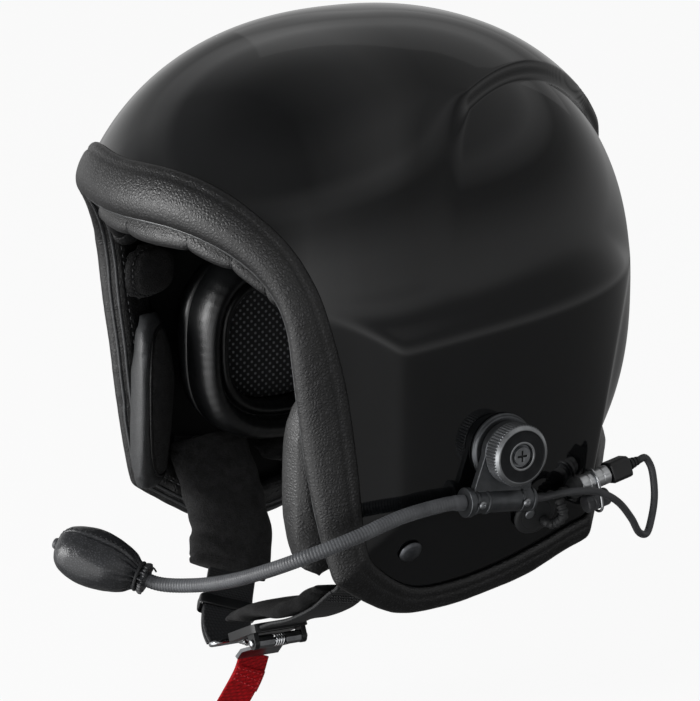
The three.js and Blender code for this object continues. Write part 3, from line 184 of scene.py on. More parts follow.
def outward(faces, points):
    """The faces, turned round if the closed mesh they make is inside out."""
    total = 0.0
    for f in faces:
        for j in range(1, len(f) - 1):
            total += np.dot(points[f[0]], np.cross(points[f[j]], points[f[j + 1]]))
    return faces if total > 0 else [tuple(reversed(f)) for f in faces]


def shaded_smooth(piece):
    piece.data.polygons.foreach_set("use_smooth", [True] * len(piece.data.polygons))


def object_of(name, points, faces, finish):
    mesh = bpy.data.meshes.new(name)
    mesh.from_pydata((np.asarray(points, float) * MM).tolist(), [], faces)
    mesh.update()
    for one in finish if isinstance(finish, (list, tuple)) else [finish]:
        mesh.materials.append(one)
    made = in_scene(name, mesh)
    shaded_smooth(made)
    return made


def skin(name, rings, finish, wrap=False, lay=None):
    """A closed mesh through rings; lay gives each point its place on the flat cloth."""
    rings = np.asarray(rings, float)
    rows, cols = rings.shape[:2]
    points = rings.reshape(-1, 3)
    faces = ring_faces(rows, cols, wrap)
    if not wrap:
        points = np.vstack([points, rings[0].mean(0), rings[-1].mean(0)])
        first, last = rows * cols, (rows - 1) * cols
        faces += [(first, (j + 1) % cols, j) for j in range(cols)]
        faces += [(first + 1, last + j, last + (j + 1) % cols) for j in range(cols)]
    made = object_of(name, points, outward(faces, points), finish)
    if lay is not None:
        flat = np.vstack([lay.reshape(-1, 3), lay[0].mean(0), lay[-1].mean(0)])
        place = made.data.attributes.new("cloth_place", "FLOAT_VECTOR", "POINT")
        place.data.foreach_set("vector", (flat * MM).astype(np.float32).ravel())
    return made

# %% [markdown]
# Each finished piece rides on a body and stands for the solids that it covers, which it hides. Some
# pieces are made once, and mirrored to the wearer's right.

# %% Dressing and mirroring
def dress(piece, body, stands_for=()):
    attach(piece, body)
    if stands_for:
        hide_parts(*stands_for)
    print(f"{piece.name}: {len(piece.data.vertices)} points on {body}")
    return piece


def mirror_of(piece, name):
    """The same piece on the wearer's right."""
    mesh = piece.data.copy()
    mesh.transform(Matrix.Scale(-1, 4, (1, 0, 0)))
    mesh.flip_normals()
    return in_scene(name, mesh)

# %% [markdown]
# Turned pieces, such as screws, knobs and sleeves, start from a profile: how far along the axis, and how
# far out. A lathe leaves no razor edges, so each corner of the profile is first rounded off with a few
# points, and only then spun.

# %% Turned pieces
def eased(profile, radius, steps=3):
    """Rounds the corners of an open profile."""
    pts = [np.array(p, float) for p in profile]
    out = [pts[0]]
    for a, b, c in zip(pts[:-2], pts[1:-1], pts[2:]):
        u, w = a - b, c - b
        reach = min(radius, np.linalg.norm(u) * 0.45, np.linalg.norm(w) * 0.45)
        p, q = b + unit(u) * reach, b + unit(w) * reach
        for i in range(steps + 1):
            t = i / steps
            out.append((1 - t) ** 2 * p + 2 * t * (1 - t) * b + t * t * q)
    out.append(pts[-1])
    return out


def frame_from(axis, hint=(0, 0, 1)):
    """Rows x, y, z: x is the axis, z leans to the hint."""
    x = unit(axis)
    z = unit(np.asarray(hint, float) - np.dot(hint, x) * x)
    return np.stack([x, np.cross(z, x), z])


def placed(points, origin, rows):
    return np.asarray(points, float) @ rows + origin


def ring_at(x, across, up):
    """A ring of points square to the axis."""
    return np.stack([np.full(len(across), x), across, up], axis=1)


def turned(name, profile, origin, rows, finish, sides=72, ease=0.3, ripple=None):
    """ripple(x, radius, angles) adds to the radius, as a knurl does."""
    turn = circle(sides)
    rings = []
    for x, r in eased(profile, ease):
        r = max(r, 0.01)
        radius = r + (ripple(x, r, turn) if ripple else 0)
        rings.append(ring_at(x, radius * np.cos(turn), radius * np.sin(turn)))
    return skin(name, placed(np.array(rings), origin, rows), finish)


def carried_frame(line, closed=False):
    """Two directions square to the line that turn with it as little as they can."""
    t = ahead_of(line, closed)
    n = np.zeros_like(line)
    n[0] = unit(np.cross(t[0], vec(0.3, 0.2, 1)))
    for i in range(1, len(line)):
        n[i] = unit(n[i - 1] - np.dot(n[i - 1], t[i]) * t[i])
    if closed:
        miss = math.atan2(np.dot(np.cross(n[-1], n[0]), t[0]), np.dot(n[-1], n[0]))
        for i in range(len(line)):
            n[i] = turn_about(t[i], miss * i / len(line)) @ n[i]
    return n, np.cross(t, n)


def tube(name, line, radius, finish, sides=16, closed=False):
    """radius is one number, or one for each point of the line."""
    n, b = carried_frame(line, closed)
    r = np.broadcast_to(np.asarray(radius, float), (len(line),))
    turn = circle(sides)[None, :, None]
    rings = line[:, None] + r[:, None, None] * (n[:, None] * np.cos(turn) + b[:, None] * np.sin(turn))
    return skin(name, rings, finish, wrap=closed)


print("helpers ready")

# %% [markdown]
# ## Finishes
# Each finish is named for what the real thing is made of. Colours are picked as sRGB hex values, as a
# paint card gives them, and turned into the linear numbers that Blender mixes light with. One small
# function adds a node, sets it and links it, so that each finish below reads as a short list.

# %% Colour and node helpers
def linear(code):
    rgb = [int(code[i:i + 2], 16) / 255 for i in (1, 3, 5)]
    return [c / 12.92 if c <= 0.04045 else ((c + 0.055) / 1.055) ** 2.4 for c in rgb] + [1.0]


def add_node(tree, kind, links=None, **settings):
    """links: socket name or number -> a value, or another node's output."""
    node = tree.nodes.new(kind)
    for name, value in settings.items():
        setattr(node, name, value)
    for name, value in (links or {}).items():
        if isinstance(value, bpy.types.NodeSocket):
            tree.links.new(value, node.inputs[name])
        else:
            node.inputs[name].default_value = value
    return node


def finish_named(name, **sockets):
    made = bpy.data.materials.new(name)
    made.use_nodes = True
    shader = made.node_tree.nodes["Principled BSDF"]
    for socket, value in sockets.items():
        shader.inputs[socket.replace("_", " ")].default_value = value
    return made, made.node_tree, shader


def per_mm(size):
    """The texture scale that gives features of this many millimetres."""
    return 1 / (size * MM)


def two_colours(tree, shader, factor, dark, light, low, high):
    ramp = add_node(tree, "ShaderNodeValToRGB", {"Fac": factor})
    for stop, at, colour in zip(ramp.color_ramp.elements, (low, high), (dark, light)):
        stop.position, stop.color = at, linear(colour)
    tree.links.new(ramp.outputs["Color"], shader.inputs["Base Color"])


def rough_between(tree, shader, factor, low, high):
    spread = add_node(tree, "ShaderNodeMapRange", {"Value": factor, "To Min": low, "To Max": high})
    tree.links.new(spread.outputs["Result"], shader.inputs["Roughness"])


def bumped(tree, shader, height, depth_mm, strength=1.0, under=None):
    bump = add_node(tree, "ShaderNodeBump", {"Height": height, "Distance": depth_mm * MM,
                                             "Strength": strength})
    if under is not None:
        tree.links.new(under.outputs["Normal"], bump.inputs["Normal"])
    tree.links.new(bump.outputs["Normal"], shader.inputs["Normal"])
    return bump

# %% [markdown]
# Patterns are laid out in millimetres on the piece itself, or on the strap's own flat cloth. Their sums
# and products give the heights and the colours.

# %% Patterns
def noise_of(tree, where, size_mm, detail=3.0, rough=0.5, stretch=None):
    if stretch is not None:
        where = add_node(tree, "ShaderNodeMapping", {"Vector": where, "Scale": stretch}).outputs["Vector"]
    return add_node(tree, "ShaderNodeTexNoise", {
        "Vector": where, "Scale": per_mm(size_mm), "Detail": detail, "Roughness": rough}).outputs["Fac"]


def on_piece(tree):
    return add_node(tree, "ShaderNodeTexCoord").outputs["Object"]


def on_cloth(tree):
    return add_node(tree, "ShaderNodeAttribute", attribute_name="cloth_place").outputs["Vector"]


def maths(tree, operation, *values):
    return add_node(tree, "ShaderNodeMath", dict(enumerate(values)), operation=operation).outputs[0]


def times(tree, *values):
    return maths(tree, "MULTIPLY", *values)


def plus(tree, *values):
    return maths(tree, "ADD", *values)


def weighed(tree, *parts):
    """A sum of patterns, each times its own weight."""
    total = None
    for pattern, weight in parts:
        share = pattern if weight == 1 else times(tree, pattern, weight)
        total = share if total is None else plus(tree, total, share)
    return total


def soft_step(tree, value, low, high):
    """0 below low, 1 above high, and a smooth rise between."""
    return add_node(tree, "ShaderNodeMapRange", {"Value": value, "From Min": low, "From Max": high},
                    interpolation_type="SMOOTHSTEP").outputs["Result"]


def voronoi(tree, where, size_mm, feature):
    return add_node(tree, "ShaderNodeTexVoronoi", {"Vector": where, "Scale": per_mm(size_mm)},
                    feature=feature).outputs["Distance"]


print("#808080 is", round(linear("#808080")[0], 3), "in linear light")

# %% [markdown]
# The shell is glass-fibre laminate under sprayed black lacquer, wet-sanded and polished. The eye gets
# deep black, clean mirror edges and, seen close, a faint orange peel: waves 4 mm wide and a few
# thousandths of a millimetre deep, which are drawn deeper than real so that they show at all.

# %% Polished black lacquer
lacquer, tree, shader = finish_named("polished_black_lacquer", Roughness=0.06, IOR=1.48)
where = on_piece(tree)
haze = noise_of(tree, where, 38, detail=4)
two_colours(tree, shader, haze, "#08090a", "#0b0c0e", 0.35, 0.7)
rough_between(tree, shader, noise_of(tree, where, 14, detail=5), 0.045, 0.085)
bumped(tree, shader, noise_of(tree, where, 4, detail=1), 0.006, 0.35)
print(lacquer.name)

# %% [markdown]
# The edge roll and the brow pad are split cowhide, drum-dyed black and printed with a pebble grain of
# about 1 mm. A Voronoi pattern gives the pebbles: high in the middle, with thin valleys between them.
# The tops are rubbed a little smoother than the valleys, the valleys are painted darker as shade, and wide
# soft creases cross it all.

# %% Grained leather
def leather(name, dark, light, pebble_mm, low, high, crease=0.5, depth=0.2):
    made, tree, shader = finish_named(name, IOR=1.5)
    where = on_piece(tree)
    bend = add_node(tree, "ShaderNodeTexNoise", {"Vector": where, "Scale": per_mm(5), "Detail": 1.0})
    nudge = add_node(tree, "ShaderNodeVectorMath", {0: bend.outputs["Color"], 1: (0.5, 0.5, 0.5)},
                     operation="SUBTRACT")
    moved = add_node(tree, "ShaderNodeVectorMath", {0: nudge.outputs[0], "Scale": 0.9 * MM},
                     operation="SCALE")
    at = add_node(tree, "ShaderNodeVectorMath", {0: where, 1: moved.outputs[0]}, operation="ADD").outputs[0]
    pebble = soft_step(tree, voronoi(tree, at, pebble_mm, "DISTANCE_TO_EDGE"), 0.0, 0.4)
    pores = noise_of(tree, where, 0.5, detail=2)
    wide = noise_of(tree, where, 13, detail=2, rough=0.5)
    # Colour: the pebble valleys are painted darker, as shade, under a random tone from the wide noise.
    two_colours(tree, shader, weighed(tree, (pebble, 0.6), (wide, 0.4)), dark, light, 0.2, 0.85)
    rough_between(tree, shader, weighed(tree, (pebble, 0.5), (pores, 0.5)), high, low)
    soft = bumped(tree, shader, wide, 1.1, crease)
    bumped(tree, shader, weighed(tree, (pebble, 1), (pores, 0.3)), depth, 0.8, under=soft)
    return made


black_leather = leather("grained_black_cowhide", "#050505", "#1d1d1f", 1.7, 0.29, 0.5, crease=0.2, depth=0.14)
# Paler smooth leather: the crown pad's own, and on the right cheek band a paler copy of the roll's leather,
# as painted light.
lining_leather_and_painted_light = leather("smooth_lining_leather", "#242526", "#3c3d3f", 1.0, 0.34, 0.48, crease=0.2, depth=0.06)
# Paler than the roll's own leather: a painted highlight on the welts.
welt_leather = leather("rubbed_welt_leather", "#303132", "#505153", 1.0, 0.24, 0.34, crease=0.1, depth=0.03)
seal_leather = leather("ear_seal_leatherette", "#0e0f10", "#1a1b1c", 0.9, 0.26, 0.38, crease=0.25, depth=0.05)
muff_leather = leather("soft_nappa_leather", "#222325", "#414245", 1.2, 0.25, 0.37, crease=0.6, depth=0.06)
print([m.name for m in (black_leather, lining_leather_and_painted_light, welt_leather, seal_leather, muff_leather)])

# %% [markdown]
# The pads are faced with a short charcoal fleece, a brushed polyester knit. Its pile is about 1.5 mm
# long, so there is no shine, only a soft lighter rim where the fibres stand against the light. Clumps
# of 4 mm and tufts of 0.8 mm are two sizes of noise, and sheen gives the rim.

# %% Fleece and foam
fleece, tree, shader = finish_named("brushed_charcoal_fleece", Roughness=0.95, IOR=1.45,
                                    Sheen_Weight=0.16, Sheen_Roughness=0.4, Sheen_Tint=linear("#787878"))
where = on_piece(tree)
tufts = noise_of(tree, where, 0.8, detail=4, rough=0.7)
clumps = noise_of(tree, where, 4, detail=3, rough=0.6)
pile = weighed(tree, (tufts, 0.65), (clumps, 0.55))
two_colours(tree, shader, pile, "#040404", "#262627", 0.47, 0.76)
bumped(tree, shader, pile, 1.4, 1.0)

liner_foam, tree, shader = finish_named("closed_cell_foam", Roughness=0.9, IOR=1.45)
where = on_piece(tree)
bubbles = voronoi(tree, where, 1.6, "SMOOTH_F1")
two_colours(tree, shader, weighed(tree, (bubbles, 1), (noise_of(tree, where, 20), 0.4)),
            "#1f2022", "#131415", 0.2, 0.9)
bumped(tree, shader, bubbles, 0.35, 0.6)
print(fleece.name, liner_foam.name)

# %% [markdown]
# Webbing is woven nylon. Its threads run in ribs across the strap, about 1.6 mm apart, and each rib is
# crossed by threads 0.9 mm apart. Straps bend through space, so the pattern must follow the strap and
# not the room: each strap's points carry their place on the flat, unbent webbing, and the weave is
# drawn there. Two waves multiplied give the little pillows that threads make over and under each other.

# %% Woven webbing
def webbing(name, dark, light, rib_mm, thread_mm, rough, depth=0.22, slant=0.0, ior=1.5):
    made, tree, shader = finish_named(name, Roughness=rough, IOR=ior)
    part = add_node(tree, "ShaderNodeSeparateXYZ", {0: on_cloth(tree)}).outputs
    across = maths(tree, "SINE", times(tree, part[0], math.pi / (thread_mm * MM)))
    along = maths(tree, "SINE", times(tree, weighed(tree, (part[1], 1), (part[0], slant)),
                                      math.pi / (rib_mm * MM)))
    fuzz = noise_of(tree, on_piece(tree), 0.35, detail=3)
    worn = noise_of(tree, on_piece(tree), 11, detail=3)
    height = weighed(tree, (times(tree, across, along), 0.28), (maths(tree, "ABSOLUTE", along), 0.6),
                     (fuzz, 0.25))
    # Colour follows the weave's height: thread tops painted lighter as highlight and the hollows darker as
    # shade, over a random tone from the worn noise.
    two_colours(tree, shader, weighed(tree, (height, 0.7), (worn, 0.3)), dark, light, 0.15, 0.95)
    bumped(tree, shader, height, depth, 0.9)
    return made


black_webbing = webbing("woven_black_nylon", "#0e0f10", "#2b2c2e", 1.6, 0.9, 0.62)
red_webbing = webbing("woven_red_nylon", "#7a060c", "#c4101a", 2.1, 1.3, 0.8, 0.3, 0.6, ior=1.33)


def twisted(name, dark, light, rough, twist_mm=0.5, low=0.3, bump=None):
    made, tree, shader = finish_named(name, Roughness=rough)
    twist = noise_of(tree, on_piece(tree), twist_mm, detail=2)
    two_colours(tree, shader, twist, dark, light, low, 0.7)
    if bump:
        bumped(tree, shader, twist, *bump)
    return made


thread = twisted("waxed_thread", "#1a1b1c", "#38393b", 0.55, bump=(0.1, 0.6))
red_thread = twisted("waxed_red_thread", "#8c0f18", "#d8343c", 0.5)
braided_cord = twisted("braided_black_cord", "#0f1011", "#2c2d2f", 0.7, 0.7, 0.35, bump=(0.15, 0.7))
print(black_webbing.name, red_webbing.name, thread.name)

# %% [markdown]
# The ear cups' speakers sit behind an acoustic cloth: black knit with a regular net of small raised
# dots 3 mm apart, in rows turned by 45 degrees. Two crossed waves make the net: a dot is where both peak.

# %% Dotted acoustic cloth
dotted_cloth, tree, shader = finish_named("dotted_acoustic_cloth", Roughness=0.85, Sheen_Weight=0.15)
DOT_PITCH = 3.0
turned_net = add_node(tree, "ShaderNodeMapping", {
    "Vector": on_piece(tree), "Rotation": (math.radians(45), 0, 0), "Scale": (0.02, 1, 1)}).outputs["Vector"]
net = add_node(tree, "ShaderNodeSeparateXYZ", {0: turned_net}).outputs
waves = [maths(tree, "SINE", times(tree, net[k], 2 * math.pi / (DOT_PITCH * MM))) for k in (1, 2)]
dots = soft_step(tree, plus(tree, *waves), 0.7, 1.5)
knit = noise_of(tree, on_piece(tree), 0.6, detail=3)
two_colours(tree, shader, weighed(tree, (dots, 0.75), (knit, 0.3)), "#17181a", "#8a8c90", 0.2, 0.95)
bumped(tree, shader, weighed(tree, (dots, 1), (knit, 0.4)), 0.35, 0.7)
print(dotted_cloth.name)

# %% [markdown]
# Hard plastics are moulded ABS with a fine spark-eroded texture. Rubber is matt, with dust in its pores.
# The shell's inside is only primed, so it is matt too. Metals keep the default index of refraction. The
# knob and bracket are aluminium, sand-blasted and black anodised. The buckle's hook is chromed, its
# lever zinc plated, and the plug's sleeve is brushed nickel.

# %% Plastics, rubber and metals
def moulded(name, dark, light, low, high, grain_mm=0.45, depth=0.03):
    made, tree, shader = finish_named(name, IOR=1.5)
    where = on_piece(tree)
    grain = noise_of(tree, where, grain_mm, detail=2)
    two_colours(tree, shader, noise_of(tree, where, 12, detail=4), dark, light, 0.3, 0.75)
    rough_between(tree, shader, grain, low, high)
    bumped(tree, shader, grain, depth, 0.5)
    return made


def metal(name, dark, light, low, high, brush=None, grain_mm=0.3, depth=0.01, shine=1.0):
    made, tree, shader = finish_named(name, Metallic=shine)
    where = on_piece(tree)
    grain = noise_of(tree, where, grain_mm, detail=3, stretch=brush)
    wear = noise_of(tree, where, 6, detail=5, rough=0.65)
    two_colours(tree, shader, wear, dark, light, 0.3, 0.8)
    rough_between(tree, shader, weighed(tree, (grain, 0.5), (wear, 0.5)), low, high)
    bumped(tree, shader, grain, depth, 0.5)
    return made


black_plastic = moulded("moulded_black_abs", "#101112", "#191a1b", 0.26, 0.42)
grey_plastic = moulded("moulded_grey_nylon", "#3a3b3d", "#4a4b4e", 0.38, 0.55)
black_rubber = moulded("moulded_black_rubber", "#131415", "#222325", 0.5, 0.72, grain_mm=0.7, depth=0.05)
cable_rubber = moulded("dusty_cable_rubber", "#2c2d2f", "#404144", 0.4, 0.56, grain_mm=0.7, depth=0.04)
shell_primer = moulded("matt_black_primer", "#0a0b0c", "#121314", 0.62, 0.8)
neck_cover = moulded("vinyl_covered_spring", "#444548", "#5e6063", 0.36, 0.48, grain_mm=0.5, depth=0.03)
anodised = metal("blasted_black_anodised_aluminium", "#4a4c4e", "#626467", 0.32, 0.46, shine=0.85, depth=0.02)
black_anodised = metal("smooth_black_anodised_face", "#1f2022", "#2f3032", 0.36, 0.5, shine=0.7, depth=0.01)
knob_rim = metal("worn_grey_anodising", "#77797c", "#96989b", 0.32, 0.48, shine=0.9, depth=0.02)
bare_edge = metal("bare_aluminium_edge", "#8a8c8f", "#b4b6b8", 0.25, 0.4)
chrome = metal("chromed_steel", "#b9bbbe", "#dcdee0", 0.1, 0.24)
zinc = metal("zinc_plated_steel", "#7d7f82", "#a5a7aa", 0.22, 0.42)
dark_steel = metal("blackened_steel", "#4a4c4f", "#707276", 0.3, 0.45)
nickel = metal("brushed_nickel", "#c2c4c6", "#e2e3e5", 0.24, 0.36, brush=(12, 1, 1))
print([m.name for m in (black_plastic, grey_plastic, black_rubber, anodised, chrome, zinc, nickel)])

# %% [markdown]
# ## Camera first
# The view is from the front left and a little above, with a long lens about two metres away, as in a
# catalogue picture: 58.7 degrees round, 14.1 degrees up, and 2.03 pixels to the millimetre at the
# middle of the helmet, on a picture 700 wide and 701 high.

# %% Camera
PICTURE = (700, 701)
PIXELS_PER_MM = 2.03
ORIGIN_IN_PICTURE = (360.6, 293.8)
DISTANCE = 2000.0
round_by, up_by = math.radians(58.67), math.radians(14.14)
to_eye = vec(math.sin(round_by) * math.cos(up_by), -math.cos(round_by) * math.cos(up_by), math.sin(up_by))
to_right = vec(math.cos(round_by), math.sin(round_by), 0)
to_top = np.cross(to_eye, to_right)
target = ((PICTURE[0] / 2 - ORIGIN_IN_PICTURE[0]) / PIXELS_PER_MM * to_right
          + (ORIGIN_IN_PICTURE[1] - PICTURE[1] / 2) / PIXELS_PER_MM * to_top)
lens = bpy.data.cameras.new("long_lens")
lens.lens = PIXELS_PER_MM * DISTANCE * lens.sensor_width / PICTURE[1]
lens.clip_end = 100
camera = in_scene("camera", lens)
camera.location = Vector((target + to_eye * DISTANCE) * MM)
camera.rotation_euler = Matrix(np.stack([to_right, to_top, to_eye], axis=1).tolist()).to_euler()
bpy.context.scene.camera = camera
print("lens", round(lens.lens, 1), "mm, aimed at", target.round(1))

# %% [markdown]
# ## The boom lead
# The only free cord is the thin lead from the boom's clamp to the plug. It leaves the clamp to the
# rear, arches out, drops in one limp loop and comes back up into the plug's strain relief. All of it
# is in view, so its length is what is seen: 121 mm of 3.6 mm rubber cable. Its last nail but one lies
# on the plug's axis, so that the lead enters the relief straight.

# %% Boom lead
lead_route = [
    (122.111, 20.511, -77.65), (122.111, 25.886, -78.168), (125, 33, -76.8), (128.5, 43, -75.8),
    (130.5, 54, -77.6), (131.5, 64, -83.6), (131.5, 72, -93), (130, 78, -101.5), (127, 84.5, -103.5),
    (124.5, 89, -97), (123, 91.5, -88), (121.3, 92, -79), (119.8, 91.2, -72.4), (119.004, 84.7, -68.866),
]
plug_axis = vec(0, math.cos(math.radians(12.5)), math.sin(math.radians(12.5)))
lead_route.insert(-1, tuple(vec(*lead_route[-1]) + plug_axis * 3.6))
lead_line = evenly(spline(lead_route), 150)
boom_lead = tube("boom_lead_cable", lead_line, 1.8, cable_rubber, sides=20)
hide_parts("boom_lead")
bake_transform(boom_lead)
print("boom lead:", round(length_of(lead_line), 1), "mm")

# %% [markdown]
# ## The shell
# The shell is one laid-up moulding. A rounded dome is the start, and the roof panel swells 5 % over it
# and ends in an overhanging rear edge. Over each ear a pod stands out, cut by flat facets that meet in
# crisp creases. Each form is a distance from the centre in every direction, and the shell's surface
# is the farthest of them: a high power in the sum keeps the creases crisp, but not razor sharp. A
# wedge, cut 0.4 mm deep for each millimetre below a slanting line, gives the pod its upper facet.

# %% Shell surface
DOME = vec(108, 142, 135.5)
REAR = 136.0
WALL = 3.2
POD_OUT, POD_FRONT, POD_BACK, POD_TOP, POD_ROUNDNESS = 115, 165, 127, 70, 2.6
WEDGE_SLOPE, WEDGE_SLANT, WEDGE_START = 0.4, 0.115, 6
ROOF_REAR, ROOF_HALF, ROOF_SWELL, ROOF_TURN = 122.5, 73.6, 0.05, math.radians(23.9)
DOME_ROUNDNESS, ROOF_CREASE, POD_CREASE, MEETING_CREASE = 2.28, 110, 240, 140


def norm(power, *terms):
    most = np.maximum.reduce(np.broadcast_arrays(*terms))
    return most * sum((np.maximum(t, 0) / most) ** power for t in terms) ** (1 / power)


def pod_side(y):
    along = np.abs(y) / np.where(y < 0, POD_FRONT, POD_BACK)
    return float(POD_OUT * (1 - along ** POD_ROUNDNESS) ** (1 / POD_ROUNDNESS))


def facet(normal, point):
    return np.asarray(normal) / np.dot(normal, point)


def slanted(turn_deg, lean_deg=0.0):
    a, b = math.radians(turn_deg), math.radians(lean_deg)
    return vec(math.cos(a) * math.cos(b), math.sin(a) * math.cos(b), math.sin(b))


FRONT = facet(slanted(-24), (pod_side(-45.5), -45.5, 0))
BACK = facet(slanted(54, -9.6), (pod_side(70.0), 70, -68))
LOW = facet(slanted(0, -26), (113, 0, -84))


def dome_inverse(d):
    x, y, z = np.abs(d[..., 0]), d[..., 1], np.abs(d[..., 2])
    return norm(DOME_ROUNDNESS, x / DOME[0], np.abs(y) / np.where(y < 0, DOME[1], REAR), z / DOME[2])


def shell_radius(d):
    x, y, z = np.abs(d[..., 0]), d[..., 1], d[..., 2]
    side = np.stack([x, y, z], axis=-1)
    plain = dome_inverse(d)
    across = (x * math.cos(ROOF_TURN) + y * math.sin(ROOF_TURN)) / plain
    soft = 2.5 + 46 * np.clip((12 - y / plain) / 80, 0, 1)
    swell = 1 + ROOF_SWELL * smooth(0, 1, (ROOF_HALF - across + soft) / (2 * soft))
    roof = norm(ROOF_CREASE, plain / swell, y / ROOF_REAR)
    wall = norm(POD_ROUNDNESS, x / POD_OUT, np.abs(y) / np.where(y < 0, POD_FRONT, POD_BACK))
    slope = WEDGE_SLOPE / POD_OUT
    wedge = (wall + slope * (z - WEDGE_SLANT * y)) / (1 + slope * WEDGE_START)
    pod = norm(POD_CREASE, wall, wedge, side @ FRONT, side @ BACK, side @ LOW, z / POD_TOP)
    return norm(MEETING_CREASE, 1 / plain, 1 / roof, 1 / pod)


def on_shell(direction, inset=0.0):
    d = unit(direction)
    return d * (shell_radius(d) - inset)[..., None]


print("half width at the ears:", round(float(on_shell(vec(115, 0, -40))[0]), 1), "mm")

# %% [markdown]
# The rim is not flat: it climbs from the ears over the brow and dips at the jaw. Two closed lines
# describe it, as shares of the dome's sizes, one where the edge roll starts on the shell and one where
# the roll ends. The right side mirrors the left one.

# %% Rim lines
ROLL_START_SHARES = [
    (0, -0.912, 0.601), (0.389, -0.852, 0.594), (0.583, -0.782, 0.546), (0.716, -0.715, 0.472),
    (0.815, -0.649, 0.381), (0.881, -0.599, 0.274), (0.926, -0.56, 0.146), (0.963, -0.507, -0.103),
    (0.969, -0.465, -0.384), (0.976, -0.434, -0.664), (0.94, -0.352, -0.797), (0.884, -0.204, -0.889),
    (0.878, -0.042, -0.893), (0.903, 0.127, -0.852), (0.94, 0.268, -0.793), (0.968, 0.394, -0.716),
    (0.954, 0.521, -0.649), (0.833, 0.669, -0.605), (0.509, 0.817, -0.568), (0, 0.88, -0.554),
]
ROLL_END_SHARES = [
    (0, -0.986, 0.428), (0.407, -0.926, 0.424), (0.611, -0.842, 0.376), (0.741, -0.761, 0.295),
    (0.815, -0.704, 0.192), (0.852, -0.68, 0.089), (0.866, -0.669, -0.03), (0.87, -0.648, -0.207),
    (0.88, -0.62, -0.428), (0.912, -0.56, -0.731), (0.889, -0.465, -0.863), (0.824, -0.261, -0.989),
    (0.815, -0.063, -0.996), (0.831, 0.099, -0.963), (0.856, 0.243, -0.923), (0.896, 0.366, -0.838),
    (0.898, 0.493, -0.753), (0.796, 0.641, -0.69), (0.491, 0.796, -0.642), (0, 0.866, -0.627),
]
SPAN = 60


def rim_line(shares):
    left = np.array(shares) * DOME
    right = left[1:-1][::-1] * (-1, 1, 1)
    return spline(np.vstack([left, right]), SPAN, closed=True, even=True)


START_LINE, END_LINE = rim_line(ROLL_START_SHARES), rim_line(ROLL_END_SHARES)


def look_up(line, t):
    at = (np.asarray(t, float) % 1) * len(line)
    low = np.floor(at).astype(int) % len(line)
    w = (at - np.floor(at))[..., None]
    return line[low] * (1 - w) + line[(low + 1) % len(line)] * w


def stations(count):
    """Shares round the rim that lie evenly along it."""
    run = run_along(closed_up(START_LINE))
    return np.interp(np.arange(count) / count * run[-1], run, np.arange(len(run)) / len(START_LINE))


def roll_width(t):
    return np.linalg.norm(on_shell(look_up(START_LINE, t)) - on_shell(look_up(END_LINE, t)), axis=-1)


def rim_point(t, along, out):
    a, b = on_shell(look_up(START_LINE, t)), on_shell(look_up(END_LINE, t))
    share = (np.asarray(along) / np.linalg.norm(a - b, axis=-1))[..., None]
    d = unit(a + (b - a) * share)
    return d * (shell_radius(d) + out)[..., None]


CROWN = unit(vec(0, 0.6, 0.8) * DOME)


def slide(t, share):
    """Directions that run from the crown, at share 0, down to the rim, at share 1."""
    edge = unit(look_up(START_LINE, t))
    angle = np.arccos(np.clip(edge @ CROWN, -1, 1))
    share = np.broadcast_to(share, angle.shape)
    return unit(CROWN * np.sin((1 - share) * angle)[..., None] + edge * np.sin(share * angle)[..., None])


print("rim length:", round(length_of(closed_up(START_LINE)), 0), "mm")

# %% [markdown]
# The lacquer mirrors its surroundings, so any coarse facet would show. The outside gets a ring every
# 1.6 mm from the crown to the rim. The inside is mostly hidden by the lining, so it needs few rings,
# and it is primed instead of lacquered: a mirror in there would throw pale patches on the nape.

# %% Shell mesh
t = stations(540)
outside = [on_shell(slide(t, s)) for s in np.linspace(0.004, 1, 150)]
LIP = ((2.5, 0), (5.2, 0), (5.7, -0.6), (5.7, -2.6), (5.2, -WALL))
lip = [rim_point(t, np.full(t.shape, a), np.full(t.shape, o)) for a, o in LIP]
inside = [on_shell(slide(t, s), WALL) for s in np.linspace(1, 0.01, 26)]
shell = skin("lacquered_shell", outside + lip + inside, (lacquer, shell_primer))
ring_of_face = np.arange(len(shell.data.polygons)) // len(t)
crown_cap = len(outside) + len(lip) + len(inside) - 1
primed = (ring_of_face >= len(outside) + len(lip)) & (ring_of_face != crown_cap)
shell.data.polygons.foreach_set("material_index", primed.astype(np.int32))
dress(shell, "helmet", ["shell"])

# %% [markdown]
# ## The edge roll
# The shell's edge is bound with a padded roll of cowhide, pulled round foam and glued: plump over the
# brow and down the cheeks, and narrow round the nape. Leather pulled round a bend puckers on the inner
# side, so fine soft creases run across the roll, strongest where the rim turns at the jaw. A stitched
# seam closes the roll on its inner face.

# %% Edge roll
def roll_section(w):
    """The corners of a roll w wide, as distance from the roll's start and out of the shell."""
    return [
        (0.05, 0.25), (-0.25, 1.3), (0.5, 2.7), (2.6, 3.7), (0.3 * w, 4.5), (0.52 * w, 4.6), (0.74 * w, 3.7),
        (0.9 * w, 1.6), (w, -1.6), (w + 0.25, -5.2), (w - 0.5, -8.8), (w - 2.6, -11.2), (w * 0.62, -12.0),
        (w * 0.4, -11.9), (3.4, -10.6), (1.6, -8.0), (1.2, -5.6), (1.5, -4.15), (3.4, -4.0), (6.0, -4.0),
        (6.05, -1.6), (6.0, 0.7), (3.0, 0.55),
    ]


def corners_to_ring(corners, count):
    ring = spline([(a, o, 0) for a, o in corners], 8, closed=True)
    return evenly(ring, count, closed=True)[:, :2]


def bend_of(line):
    """How sharply a closed line turns, 0 to 1."""
    d = ahead_of(line, closed=True)
    turn = np.linalg.norm(np.roll(d, -6, axis=0) - np.roll(d, 6, axis=0), axis=1)
    return turn / turn.max()


